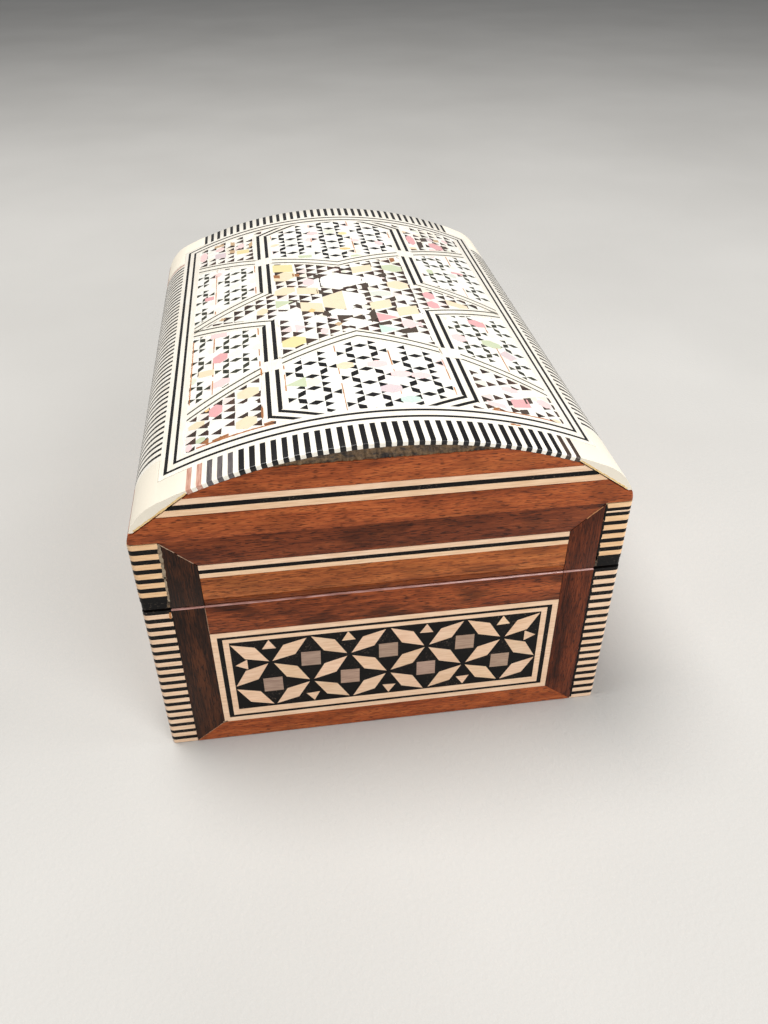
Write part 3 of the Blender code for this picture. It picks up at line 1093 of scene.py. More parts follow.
@dataclass
class BaseWall:
    """One wall of the base: stiles, rails and a mosaic panel."""

    side: Side
    face: float
    half_span: float
    half_steps: int
    seed: int
    strip: float = 5.8 * MM
    stile: float = 6.7 * MM
    bottom_rail: float = 5.6 * MM
    panel_top: float = 33.3 * MM
    foot: float = 0.12 * MM

    def board(self, part: str, low: Spot, high: Spot, finish: Finish,
              mitres: Sequence[tuple[Spot, Spot]] = ()) -> Piece:
        """A board of the wall.

        Args:
            part: Its part's name.
            low: Its lowest run and height.
            high: Its highest run and height.
            finish: Its finish.
            mitres: Points of its sloping cuts, with the ways to their waste.

        Returns:
            The board, turned to its side.
        """
        piece = cuboid(part, (low[0] + HAIR, -self.face + SUNK, low[1] + HAIR),
                       (high[0] - HAIR, -self.face + FACING, high[1] - HAIR))
        # The second slot is the rim colour, partly wear and partly a painted highlight.
        paint(piece, finish, RIM_WEAR_AND_HIGHLIGHT[self.side.grain])
        for at, away in mitres:
            saw(piece, (at[0], -self.face, at[1]), (away[0], 0, away[1]))
        rim = BASE_TOP - 1.5 * HAIR
        choose(piece, "EDGE", lambda ends: all(end.z > rim and end.y < SUNK * 2 - self.face for end in ends))
        with editing(piece, whole=False):
            bpy.ops.mesh.bevel(offset=RIM, segments=3, affect="EDGES", material=1)
        ease(piece, 0.06 * MM, 2, 60)
        smooth(piece)
        return turn(piece, self.side)

    def build(self) -> None:
        """Makes the wall's five pieces."""
        word = self.side.word
        out = self.half_span - self.strip
        inn = out - self.stile
        drop = Vector((-self.bottom_rail, self.stile)).normalized()
        rail_wood = MAHOGANY[self.side.grain]
        for hand in (-1, 1):
            # Left stiles get the darker walnut, which holds painted shade.
            finish = LEFT_WALNUT_AND_SHADE if hand < 0 else RED_WALNUT
            low, high = sorted((hand * inn, hand * out))
            cut = ((hand * (inn - HAIR), self.bottom_rail + HAIR), (hand * drop.x, -drop.y))
            piece = self.board("stile", (low, self.foot), (high, BASE_TOP), finish, [cut])
            name = f"base_{word}_stile_{self.side.hand(hand)}"
            fit(named(piece, name + "_board"), "walnut", name)
        cuts = [((hand * (inn + HAIR), self.bottom_rail - HAIR), (-hand * drop.x, drop.y))
                for hand in (-1, 1)]
        rail = self.board(f"base_{word}_bottom_rail_board", (-out, self.foot), (out, self.bottom_rail),
                          rail_wood, cuts)
        fit(rail, "mahogany", f"base_{word}_bottom_rail")
        top = self.board(f"base_{word}_top_rail_board", (-inn, self.panel_top), (inn, BASE_TOP),
                         BLOTCHED_RAIL[self.side.grain])
        fit(top, "mahogany", f"base_{word}_top_rail")
        panel = MosaicPanel(inn - HAIR, self.half_steps, self.seed).build(self.face)
        named(turn(panel, self.side), f"base_{word}_mosaic")
        fit(panel, "mosaic_inlay", f"base_{word}_mosaic_panel")


# The striped strips round the upright corners.


class Layer(Enum):
    """The layers of a strip: how far each lies behind the strip's face, and its stain."""

    CREAM = (0.01 * MM, (1, 1, 1))
    YELLOW = (0.01 * MM, (0.98, 0.90, 0.72))
    BLACK = (0.03 * MM, (1, 1, 1))
    DIRT = (0.12 * MM, (1, 1, 1))

    @property
    def wood(self) -> Finish:
        """The layer's wood."""
        return (CREAM if self in (Layer.CREAM, Layer.YELLOW) else EBONY)[Grain.ACROSS]


LayerList = list[tuple[float, float, Layer]]       # each layer's foot, its top and its kind


@dataclass
class CornerStrip:
    """Strips of cream and black layers stacked round the upright corners."""

    radius: float = 1.0 * MM
    leg: float = 5.76 * MM
    depth: float = 0.8 * MM
    facets: int = 6
    foot_inset: float = 0.10 * MM       # how far the worn lowest layer lies behind the face

    def layer(self, name: str, thickness: float, inset: float) -> Piece:
        """One layer, spun round the corner and drawn out into two legs, at the front right corner.

        Args:
            name: Its name.
            thickness: Its height.
            inset: How far its face lies behind the strip's.

        Returns:
            The layer, with its foot at z = 0.
        """
        centre = (HALF_WIDTH - self.radius, self.radius - HALF_LENGTH, 0)
        bpy.ops.mesh.primitive_plane_add(size=1, rotation=(0, math.pi / 2, 0), location=(
            centre[0], inset - HALF_LENGTH + self.depth / 2, thickness / 2))
        piece = bpy.context.object
        piece.scale = (thickness, self.depth, 1)
        settle(piece, name)
        with editing(piece):
            bpy.ops.mesh.spin(steps=self.facets, angle=-math.pi / 2, center=centre, axis=(0, 0, 1))
            bpy.ops.mesh.select_all(action="SELECT")
            bpy.ops.mesh.remove_doubles(threshold=0.0005 * MM)
            bpy.ops.mesh.normals_make_consistent(inside=False)
        run = self.leg - self.radius
        for way in (Vector((-1, 0, 0)), Vector((0, 1, 0))):
            choose(piece, "FACE", lambda corners: all(abs((corner - Vector(centre)).dot(way)) < 0.02 * MM
                                                      for corner in corners))
            with editing(piece, whole=False):
                bpy.ops.mesh.extrude_region_move(TRANSFORM_OT_translate={"value": way * run})
        return piece

    def build(self, part: str, node: str, right: bool, front: bool, layers: LayerList) -> None:
        """Stacks a strip.

        Args:
            part: The whole strip's name.
            node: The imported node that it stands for.
            right: Whether it is at a right corner.
            front: Whether it is at the front.
            layers: Its layers.
        """
        stack = []
        for number, (low, high, kind) in enumerate(layers):
            inset, tint = kind.value
            if number == 0 and kind is Layer.CREAM:
                inset = self.foot_inset
            piece = self.layer(f"layer_{number}", high - low, inset)
            piece.data.transform(Matrix.Translation((0, 0, low)))
            stack.append(tinted(paint(piece, kind.wood), tint))
        whole = join(part, stack)
        whole.data.transform(Matrix.Diagonal((1 if right else -1, 1 if front else -1, 1, 1)))
        if right != front:
            whole.data.flip_normals()
        fit(smooth(whole), "striped_inlay", node)

    @staticmethod
    def even(low: float, high: float, creams: int, share: float, hand: random.Random,
             cream: Layer = Layer.CREAM) -> LayerList:
        """Even layers, black at the foot and cream at the top.

        Args:
            low: The lowest layer's foot.
            high: The highest layer's top.
            creams: How many cream layers there are.
            share: The cream's share of the pitch.
            hand: The unevenness of the work.
            cream: The kind of the cream layers.

        Returns:
            The layers.
        """
        pitch = (high - low) / creams
        layers = []
        foot = low
        for number in range(creams):
            top = low + pitch * (number + 1)
            split = top - pitch * share + hand.uniform(-0.08, 0.08) * MM
            layers += [(foot, split, Layer.BLACK), (split, top, cream)]
            foot = top
        return layers

    def build_all(self) -> None:
        """Makes the eight strips."""
        hand = random.Random(11)
        for front in (True, False):
            for right in (True, False):
                place = f"{'front' if front else 'back'}_{'right' if right else 'left'}"
                base = [(0.15 * MM, 1.3 * MM, Layer.CREAM)]
                base += self.even(1.3 * MM, 40.25 * MM, 17, 0.53, hand)
                base += [(40.25 * MM, BASE_TOP - 0.15 * MM, Layer.BLACK)]
                self.build(f"base_stripes_{place}", f"base_corner_strip_{place}", right, front, base)
                lid = [(LID_BOTTOM + 0.15 * MM, 43.6 * MM, Layer.DIRT)]
                if right:
                    lid += self.even(43.6 * MM, 55.1 * MM, 5, 0.54, hand, Layer.YELLOW)
                    lid += [(55.1 * MM, 56.0 * MM, Layer.BLACK), (56.0 * MM, 56.4 * MM, Layer.CREAM),
                            (56.4 * MM, 57.2 * MM, Layer.BLACK), (57.2 * MM, 58.3 * MM, Layer.YELLOW)]
                else:
                    lid += self.even(43.9 * MM, 58.3 * MM, 6, 0.52, hand, Layer.YELLOW)
                    lid[1] = (43.6 * MM, lid[1][1], Layer.BLACK)
                self.build(f"lid_stripes_{place}", f"lid_corner_strip_{place}", right, front, lid)


# The walls of the lid.


@dataclass
class LidWall:
    """What all four walls of the lid have: strings over a low rail with its lipping."""

    side: Side
    face: float = HALF_LENGTH
    sunk: float = SUNK
    groove: float = 43.0 * MM
    low_string: float = 48.8 * MM
    low_rail_top: float = 52.0 * MM
    clear: float = 0.1 * MM              # between the lipping and the parting
    lipping_rounding: float = 0.22 * MM
    rail_rounding: float = 0.09 * MM

    def plank(self, name: str, low: Spot, high: Spot, finish: Finish, sunk: float = 0.0) -> Piece:
        """A straight plank at the front, from its lowest to its highest run and height."""
        piece = cuboid(name, (low[0], self.sunk + sunk - self.face, low[1]),
                       (high[0], FACING - self.face, high[1]))
        return paint(piece, finish)

    def strings(self, name: str, half: float, cuts: Sequence[float], lowest: Colour = (1, 1, 1)) -> Piece:
        """Light, black and light strings, one over another.

        Args:
            name: Their name.
            half: Half their length.
            cuts: The heights of their four edges.
            lowest: The stain of the lowest string.

        Returns:
            The joined strings, at the front.
        """
        grain = self.side.grain
        laid = []
        for number, finish in enumerate((CREAM[grain], EBONY[grain], CREAM[grain])):
            sunk = 0.01 * MM if number == 1 else 0.0
            laid.append(self.plank(name, (-half, cuts[number]), (half, cuts[number + 1]), finish, sunk))
        tinted(laid[0], lowest)
        return join(name, laid)

    def low_rail(self, half: float) -> None:
        """Makes the low rail and the darker lipping under its groove.

        Args:
            half: Half their length.
        """
        wood = ORANGE_RAIL[self.side.grain]
        lipping = self.plank("lipping", (-half, LID_BOTTOM + self.clear), (half, self.groove), wood)
        ease(tinted(lipping, (0.62, 0.52, 0.42)), self.lipping_rounding, 2)
        rail = self.plank("rail", (-half, self.groove + 0.05 * MM), (half, self.low_string - HAIR), wood)
        ease(rail, self.rail_rounding, 2)
        name = f"lid_{self.side.word}_low_rail"
        fit(smooth(turn(join(f"{name}_board", [rail, lipping]), self.side)), "mahogany", name)


@dataclass
class LidEnd(LidWall):
    """An end of the lid: rails and strings under an arched tympanum."""

    seed: int = 0
    stile_out: float = 44.2 * MM
    stile_in: float = 37.5 * MM
    strip_top: float = 58.39 * MM
    high_string: float = 64.37 * MM
    tympanum: float = 68.16 * MM
    flat_top: float = 73.45 * MM
    bed_top: Spot = (36.9 * MM, 69.3 * MM)
    bed_low: Spot = (48.2 * MM, 61.2 * MM)
    chord_cuts: int = 34
    filler_half: float = 24.0 * MM
    filler_depth: float = 0.22 * MM
    filler_rows: Spot = (74.2 * MM, 75.0 * MM)
    filler_inset: float = 1.02 * MM      # how far pieces stay under the vault's surface
    arch_inset: float = 1.06 * MM
    string_trim: float = 0.12 * MM       # how far they stay from the bone corners
    arch_trim: float = 0.15 * MM

    def trim(self, piece: Piece, clear: float) -> Piece:
        """Cuts a piece's ends along the lower edges of the bone corners.

        Args:
            piece: The piece.
            clear: The distance kept from the bone.

        Returns:
            The piece.
        """
        edge = Vector((self.bed_low[0] - self.bed_top[0], self.bed_low[1] - self.bed_top[1])).normalized()
        for hand in (-1, 1):
            normal = Vector((-edge.y * hand, 0, edge.x))
            at = Vector((self.bed_top[0] * hand, 0, self.bed_top[1])) - normal * clear
            saw(piece, tuple(at), tuple(normal))
        return piece

    def arch_cut(self, piece: Piece, inset: float) -> Piece:
        """Cuts a piece's top along the underside of the vault's border.

        Args:
            piece: The piece.
            inset: Distance of the cut under the vault's surface.

        Returns:
            The piece.
        """
        for cut in range(self.chord_cuts + 1):
            angle = VAULT.crown_angle * (2 * cut / self.chord_cuts - 1)
            normal = Vector((math.sin(angle), 0, math.cos(angle)))
            at = Vector((0, 0, VAULT.crown_centre)) + normal * (VAULT.crown_radius - inset)
            saw(piece, tuple(at), tuple(normal))
        return piece

    def filler(self) -> Piece:
        """The dirty filler between the tympanum's flat top and the border.

        Returns:
            The filler, at the front.
        """
        hand = random.Random(self.seed)
        half = self.filler_half
        piece = cuboid("filler", (-half, self.filler_depth - self.face, self.flat_top - 0.6 * MM),
                       (half, FACING - self.face, VAULT.top))
        self.arch_cut(piece, self.filler_inset)
        score(piece, 0.45 * MM)
        for height in self.filler_rows:
            with editing(piece):
                bpy.ops.mesh.bisect(plane_co=(0, 0, height), plane_no=(0, 0, 1))
        for vertex in piece.data.vertices:
            if vertex.co.y < -self.face + 0.5 * MM:
                vertex.co.y += hand.uniform(-0.12, 0.22) * MM
        return paint(piece, FILLER)

    def build(self) -> None:
        """Makes the end's pieces."""
        word = f"lid_{self.side.word}"
        inn, out = self.stile_in, self.stile_out
        rise = Vector((self.low_rail_top - self.strip_top, out - inn)).normalized()
        for hand in (-1, 1):
            low, high = sorted((hand * (inn + HAIR), hand * (out - HAIR)))
            # The left stile gets the darker walnut, which holds painted shade.
            stile = self.plank("stile", (low, LID_BOTTOM + self.clear), (high, self.strip_top),
                               LEFT_WALNUT_AND_SHADE if hand < 0 else RED_WALNUT)
            saw(stile, (hand * inn, 0, self.low_rail_top - HAIR), (hand * rise.x, 0, rise.y))
            ease(stile, 0.08 * MM, 2)
            smooth(turn(stile, self.side))
            name = f"{word}_stile_{self.side.hand(hand)}"
            fit(named(stile, name + "_board"), "walnut", name)

        self.low_rail(inn - HAIR)
        rise = self.low_rail_top - self.low_string
        cuts = [self.low_string + rise * share for share in (0, 0.34, 0.64, 1)]
        low = self.strings(f"{word}_low_strings", inn - HAIR, cuts, (0.98, 0.95, 0.88))
        fit(turn(low, self.side), "striped_inlay", f"{word}_low_stringing")

        self.high_rail(word)

        rise = self.tympanum - 0.05 * MM - self.high_string
        cuts = [self.high_string + rise * share for share in (0, 0.37, 0.66, 1)]
        high = self.strings(f"{word}_high_strings", inn + 8 * MM, cuts, (0.98, 0.95, 0.88))
        self.trim(high, self.string_trim)
        fit(turn(high, self.side), "striped_inlay", f"{word}_high_stringing")

        arch = self.plank(f"{word}_tympanum_board", (-inn - 2 * MM, self.tympanum),
                          (inn + 2 * MM, self.flat_top), MAHOGANY[self.side.grain])
        self.arch_cut(arch, self.arch_inset)
        self.trim(arch, self.arch_trim)
        ease(arch, 0.10 * MM, 2, 25)
        fit(smooth(turn(arch, self.side)), "mahogany", f"{word}_tympanum")

        fit(named(turn(self.filler(), self.side), f"{word}_filler"), "carcass_wood")

    def high_rail(self, word: str) -> None:
        """Makes the high rail in its two tones, with the ends that turn the corners.

        Args:
            word: The start of the piece's name.
        """
        grain = self.side.grain
        parts = []
        for away, finish in ((1, RED_RAIL[grain]), (-1, MAHOGANY[grain])):
            part = copy_of(f"{word}_high_rail", "rail")
            saw(part, (0, 0, self.strip_top + 0.06 * MM), (0, 0, away))
            paint(part, finish)
            parts.append(part)
        rail = join(f"{word}_high_rail_board", parts)
        ease(rail, 0.07 * MM, 2, 40)
        fit(smooth(rail), "mahogany", f"{word}_high_rail")


@dataclass
class LidSide(LidWall):
    """A long side of the lid: two rails with strings between them."""

    face: float = HALF_WIDTH
    sunk: float = 0.0
    half_run: float = 62.65 * MM

    def build(self) -> None:
        """Makes the side's three pieces."""
        word = f"lid_{self.side.word}"
        self.low_rail(self.half_run)
        third = (self.low_rail_top - self.low_string) / 3
        strings = self.strings(f"{word}_strings", self.half_run,
                               [self.low_string + number * third for number in range(4)])
        fit(turn(strings, self.side), "striped_inlay", f"{word}_stringing")

        high = copy_of(f"{word}_high_rail", f"{word}_high_rail_board")
        ease(paint(high, MAHOGANY[self.side.grain]), 0.07 * MM, 2, 40)
        fit(smooth(high), "mahogany", f"{word}_high_rail")


# The vault: borders, bone corners and the pearl mosaic.


@dataclass
class Borders:
    """The striped borders round the vault's mosaic."""

    end_inner: float = 61.3 * MM
    bone_run: float = 38.2 * MM
    side_inner: float = 44.5 * MM
    side_outer: float = 56.34 * MM
    side_half: float = 53.6 * MM
    stripes: int = 36
    side_pitch: float = 2.16 * MM
    side_bar: float = 0.86 * MM
    thickness: float = 1.0 * MM
    rounding: float = 0.35 * MM
    front_share: float = 0.52     # the black stripes' share of the pitch
    back_share: float = 0.44
    slack: float = 0.06 * MM      # unevenness of the work
    sunk: float = 0.015 * MM      # how far the end's black stripes lie under the white ones
    ground: float = -0.02 * MM    # height of the white between the sides' black bars
    bar_depth: float = 0.5 * MM
    step: float = 1.0 * MM        # between the cuts that let the sides bend

    def end(self, front: bool) -> None:
        """Makes the border of an end: stripes along the box that turn over its edge.

        Args:
            front: Whether it is the front border.
        """
        hand = random.Random(21 if front else 22)
        pitch = 2 * self.bone_run / (self.stripes + 0.5)
        bars = []
        for number in range(self.stripes + 1):
            left = -self.bone_run + number * pitch
            share = self.front_share if front else self.back_share
            dark = left + pitch * share + hand.uniform(-1, 1) * self.slack
            right = min(left + pitch, self.bone_run)
            dark_finish = BLACK_LINE
            if front and number < 2:
                dark_finish = RED_LINE
            elif front and number < 5:
                dark_finish = WORN_LINE
            elif front and number >= self.stripes - 1:
                dark_finish = BROWN_TILE
            for low, high, finish, sunk in ((left, dark, dark_finish, self.sunk),
                                            (dark, right, WHITE_LINE, 0.0)):
                if high - low < 0.1 * MM:
                    continue
                bar = slab("bar", (low, sunk - HALF_LENGTH), (high, -self.end_inner), -sunk, finish,
                           self.thickness)
                bars.append(self.round_edge(bar))
        border = smooth(VAULT.bend(join("border", bars)), 40)
        turn(border, Side.FRONT if front else Side.BACK)
        word = "front" if front else "back"
        fit(named(border, f"vault_border_{word}"), "striped_inlay", f"lid_border_{word}")

    def round_edge(self, bar: Piece) -> Piece:
        """Rounds a bar's upper edge at the end of the box.

        Args:
            bar: The flat bar.

        Returns:
            The bar.
        """
        choose(bar, "EDGE", lambda ends: all(abs(end.y + HALF_LENGTH) < 0.03 * MM and end.z > -0.05 * MM
                                             for end in ends))
        with editing(bar, whole=False):
            bpy.ops.mesh.bevel(offset=self.rounding, segments=3, affect="EDGES")
        return bar

    def side(self, right: bool) -> None:
        """Makes the border of a long side: stripes across, down the haunch to the wall.

        Args:
            right: Whether it is the right border.
        """
        hand = random.Random(31 if right else 32)
        low, high = self.side_inner, self.side_outer
        ground = slab("ground", (low, -self.side_half), (high, self.side_half), self.ground, WHITE_LINE,
                      self.thickness)
        pieces = [score(ground, self.step)]
        count = int(2 * self.side_half / self.side_pitch)
        half = self.side_bar / 2
        bar = slab("bar", (low, -half), (high, half), 0.0, BLACK_LINE, self.bar_depth)
        pattern = score(bar, self.step)
        for number in range(count):
            y = -self.side_half + (number + 0.7) * self.side_pitch + hand.uniform(-0.07, 0.07) * MM
            bar = stamp(pattern, (0, y))
            if not right and number == 0:
                paint(bar, RED_LINE)
            pieces.append(bar)
        discard(pattern)
        border = VAULT.bend(join("border", pieces))
        if not right:
            turn(border, Side.BACK)
        word = "right" if right else "left"
        named(smooth(border, 40), f"vault_border_{word}")
        fit(border, "striped_inlay", f"lid_border_{word}")

    def build(self) -> None:
        """Makes the four borders."""
        for flag in (True, False):
            self.end(flag)
            self.side(flag)


@dataclass
class BoneCorners:
    """The four polished bone corners of the vault."""

    brow: float = 1.5 * MM
    lower: float = 0.45 * MM
    rounding: float = 0.12 * MM

    def build(self) -> None:
        """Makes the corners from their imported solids, with rounded brows and yellowed lower edges."""
        for end, way in (("front", -1), ("back", 1)):
            face = HALF_LENGTH - 0.05 * MM
            for hand in ("left", "right"):
                node = f"bone_corner_{end}_{hand}"
                piece = paint(copy_of(node, f"{node}_polished"), BONE, YELLOW_BONE)
                for width, above, finish in ((self.brow, True, 0), (self.lower, False, 1)):
                    choose(piece, "EDGE", lambda ends: all(end.y * way > face for end in ends)
                           and (self.depth((ends[0] + ends[1]) / 2) < 0.15 * MM) == above)
                    with editing(piece, whole=False):
                        bpy.ops.mesh.bevel(offset=width, segments=5, affect="EDGES", material=finish,
                                           clamp_overlap=True)
                ease(piece, self.rounding, 2, 55)
                for vertex in piece.data.vertices:
                    if vertex.co.y * way > HALF_LENGTH - 0.03 * MM:
                        vertex.co.y = way * (HALF_LENGTH - SUNK)
                fit(smooth(piece, 40), "bone", node)

    @staticmethod
    def depth(spot: Vector) -> float:
        """How far a spot lies under the vault's surface."""
        if math.atan2(abs(spot.x), spot.z - VAULT.crown_centre) < VAULT.crown_angle:
            return VAULT.crown_radius - math.hypot(spot.x, spot.z - VAULT.crown_centre)
        return VAULT.haunch_radius - math.hypot(abs(spot.x) - VAULT.haunch_x, spot.z - VAULT.haunch_z)


class Shell(Enum):
    """The colours of the shell pieces, as stains on the pearl."""

    WHITE = (1.0, 1.0, 1.0)
    CREAM = (0.88, 0.76, 0.58)
    YELLOW = (0.88, 0.76, 0.42)
    PEACH = (0.95, 0.76, 0.58)
    ORANGE = (0.95, 0.60, 0.28)
    PINK = (0.96, 0.70, 0.74)
    ROSE = (0.82, 0.44, 0.48)
    MAUVE = (0.76, 0.64, 0.70)
    GREEN = (0.62, 0.70, 0.52)
    TEAL = (0.64, 0.84, 0.78)
    GREY = (0.74, 0.78, 0.76)
    BROWN = (0.60, 0.42, 0.26)
    RUST = (0.36, 0.15, 0.06)
    DARK = (0.075, 0.052, 0.040)


class Cut(Enum):
    """The outlines of the broad shell pieces."""

    HEXAGON = "hexagon"
    HALF = "half hexagon, on the right"
    FALLING = "parallelogram that falls to the right"
    RISING = "parallelogram that rises to the right"
    ARROW = "triangle that points to the right"
    DIAMOND = "rhombus"


@dataclass(frozen=True)
class BroadPiece:
    """A broad shell piece of the vault, in millimetres of the flat layout."""

    cut: Cut
    tone: Shell
    x: float
    y: float
    width: float
    height: float
    turned: float = 0.0


def shell_pieces(*rows: tuple) -> list[BroadPiece]:
    """Pieces by rows: a cut, a tone and places of x, y, width, height and, where it is turned, its turn."""
    return [BroadPiece(cut, tone, *place) for cut, tone, *places in rows for place in places]


BROAD_PIECES = shell_pieces(
    (Cut.HEXAGON, Shell.YELLOW, (-14.6, -22.2, 5.4, 5.7), (3.2, 45.2, 2.4, 2.4)),
    (Cut.FALLING, Shell.WHITE, (-14.9, -7.8, 5.6, 7.6)),
    (Cut.FALLING, Shell.CREAM, (-9.3, -5.0, 5.3, 7.8), (-9.6, 5.2, 5.3, 6.0)),
    (Cut.DIAMOND, Shell.ORANGE, (-9.4, -7.0, 2.0, 2.4)),
    (Cut.HEXAGON, Shell.CREAM, (-1.2, -3.0, 10.4, 11.8), (-21.3, -2.0, 2.7, 4.0),
        (-15.0, 17.0, 5.6, 6.4), (-25.5, -40.4, 4.7, 4.8), (-36.8, -46.4, 3.6, 2.8),
        (-26.0, -52.2, 4.4, 4.8), (-4.6, -37.0, 3.6, 3.4)),
    (Cut.HALF, Shell.WHITE, (-1.2, -3.0, 10.4, 11.8)),
    (Cut.DIAMOND, Shell.DARK, (1.5, -6.8, 2.2, 2.2)),
    (Cut.DIAMOND, Shell.PEACH, (-3.0, -6.7, 1.6, 2.0)),
    (Cut.HEXAGON, Shell.WHITE, (-0.8, -10.0, 8.6, 4.0), (13.6, -24.6, 5.2, 5.2),
        (7.2, 9.4, 5.2, 5.4), (-0.8, 9.6, 10.4, 9.4), (14.2, -1.6, 4.0, 3.8), (-25.8, -46.1, 4.4, 4.4),
        (-32.5, -49.4, 3.4, 3.4), (24.4, -41.0, 3.8, 3.0), (24.6, -47.4, 3.6, 3.2)),
    (Cut.DIAMOND, Shell.WHITE, (0.2, -16.3, 7.4, 4.6)),
    (Cut.DIAMOND, Shell.BROWN, (-3.9, -16.2, 1.9, 2.2), (-31.6, 0.7, 2.0, 1.6)),
    (Cut.RISING, Shell.CREAM, (7.3, -6.3, 5.2, 6.8), (13.4, -9.4, 5.3, 7.0),
        (5.4, 17.2, 5.4, 6.2)),
    (Cut.ARROW, Shell.ROSE, (7.2, -13.6, 5.0, 5.0)),
    (Cut.HEXAGON, Shell.PINK, (12.4, -17.0, 3.2, 5.0), (-9.0, 10.6, 2.8, 5.2),
        (-7.4, -19.2, 1.7, 3.6), (-38.2, -54.0, 1.4, 2.8), (29.6, -45.2, 3.6, 2.6), (36.8, -48.2, 3.2, 3.6),
        (-31.4, -32.0, 3.8, 3.6), (23.4, -22.2, 3.4, 4.4), (2.2, -37.4, 4.2, 3.4), (6.4, -42.2, 4.0, 3.2),
        (10.6, -42.8, 4.0, 3.0), (-38.0, 50.4, 2.3, 7.4), (-32.9, 51.4, 2.6, 2.8), (-26.3, 48.4, 1.9, 4.2),
        (-5.4, 46.6, 3.0, 3.0), (6.2, 39.2, 2.2, 2.4), (12.8, 37.8, 2.2, 3.6), (35.0, 50.0, 1.8, 3.0)),
    (Cut.ARROW, Shell.PINK, (14.9, -17.0, 2.0, 3.0, 180), (-13.0, -15.4, 2.6, 4.2)),
    (Cut.ARROW, Shell.TEAL, (6.8, -20.2, 4.6, 4.6)),
    (Cut.HEXAGON, Shell.ROSE, (20.6, 1.5, 2.9, 5.0), (20.7, -4.3, 2.9, 5.0),
        (-32.6, -43.4, 3.0, 5.2), (-31.9, -20.0, 3.6, 4.8), (30.4, -11.4, 4.4, 4.2), (23.2, 43.8, 2.4, 8.4),
        (30.7, 42.6, 4.2, 5.8)),
    (Cut.FALLING, Shell.PEACH, (27.5, -1.8, 5.6, 4.6), (-35.2, -25.0, 3.8, 4.0)),
    (Cut.HEXAGON, Shell.PEACH, (-15.4, 7.4, 5.4, 5.2), (13.4, 6.6, 5.4, 5.8),
        (37.6, -54.9, 1.8, 1.4), (-16.4, 41.5, 2.4, 1.8)),
    (Cut.ARROW, Shell.GREEN, (-16.4, 0.2, 4.4, 4.6), (-14.6, -41.6, 4.2, 4.4, 180)),
    (Cut.HEXAGON, Shell.GREY, (8.4, 0.6, 5.0, 3.6), (31.0, 19.8, 2.2, 3.2)),
    (Cut.HEXAGON, Shell.GREEN, (13.6, 18.4, 5.4, 5.4), (-35.7, -52.8, 2.0, 2.2),
        (31.4, -22.4, 4.8, 4.2), (5.4, 26.9, 3.4, 2.0), (34.8, 40.4, 1.5, 4.0), (24.4, 19.6, 1.8, 3.6)),
    (Cut.ARROW, Shell.WHITE, (-8.6, -12.6, 4.4, 5.0, 90)),
    (Cut.FALLING, Shell.DARK, (-6.3, -9.7, 1.6, 4.4), (-12.4, -2.6, 1.0, 5.0),
        (-6.6, 3.4, 1.6, 3.6), (-6.6, 13.8, 1.8, 3.4)),
    (Cut.ARROW, Shell.DARK, (-2.6, -13.0, 3.4, 3.6), (1.3, -13.4, 2.6, 3.0, 180)),
    (Cut.RISING, Shell.DARK, (4.6, -12.6, 1.5, 8.0), (6.9, -17.1, 3.0, 2.4),
        (11.9, -20.9, 3.8, 3.4), (10.8, -2.7, 1.5, 3.6), (4.7, -0.2, 1.7, 3.0), (4.9, 5.4, 1.8, 4.0),
        (10.4, 13.0, 2.0, 3.4), (32.9, -48.6, 2.0, 3.4), (30.4, -54.2, 2.0, 2.8), (25.6, 41.0, 1.8, 7.0),
        (27.7, 46.6, 2.2, 4.4), (33.6, 44.0, 2.2, 3.4)),
    (Cut.RISING, Shell.RUST, (-31.4, -54.7, 3.4, 1.2), (-21.4, -54.6, 2.2, 0.9),
        (24.1, -54.8, 1.4, 1.3), (14.7, 25.0, 1.4, 4.8)),
    (Cut.ARROW, Shell.RUST, (-34.5, -54.2, 1.8, 2.2, 180)),
    (Cut.HEXAGON, Shell.RUST, (-22.7, -50.0, 0.5, 5.6)),
    (Cut.HEXAGON, Shell.ORANGE, (-34.6, -41.8, 1.0, 1.4), (2.7, 32.6, 3.0, 1.8)),
    (Cut.RISING, Shell.ROSE, (30.6, -50.6, 4.4, 5.0), (29.6, 38.2, 3.6, 3.2),
        (33.0, 23.0, 3.6, 1.8)),
    (Cut.FALLING, Shell.PINK, (24.6, -53.0, 3.8, 2.6), (-32.4, -7.4, 4.2, 4.4)),
    (Cut.DIAMOND, Shell.MAUVE, (34.4, -27.0, 4.6, 5.2)),
    (Cut.HEXAGON, Shell.MAUVE, (3.6, -48.4, 4.4, 3.8), (29.7, 47.8, 2.0, 3.2)),
    (Cut.HEXAGON, Shell.TEAL, (6.8, -53.0, 4.0, 3.0)),
    (Cut.FALLING, Shell.BROWN, (-33.2, 54.6, 3.0, 2.4), (-28.9, 52.4, 1.3, 4.0),
        (-29.0, 46.0, 1.5, 3.4)),
    (Cut.FALLING, Shell.MAUVE, (-32.6, 46.0, 3.4, 5.6)),
    (Cut.FALLING, Shell.YELLOW, (-25.8, 43.2, 3.6, 4.2), (-15.2, 23.0, 5.4, 7.4)),
    (Cut.RISING, Shell.BROWN, (-23.5, 47.2, 1.0, 5.0), (32.0, 48.4, 1.8, 3.0)),
    (Cut.FALLING, Shell.GREEN, (-8.6, 29.0, 3.6, 2.6)),
    (Cut.RISING, Shell.PEACH, (21.6, 50.4, 2.4, 1.8), (22.2, 36.8, 3.2, 2.4)),
    (Cut.FALLING, Shell.RUST, (-16.9, 18.0, 1.6, 3.2), (-11.9, 16.6, 1.8, 2.8)),
    (Cut.FALLING, Shell.ROSE, (-35.4, 17.2, 2.6, 3.2)),
)


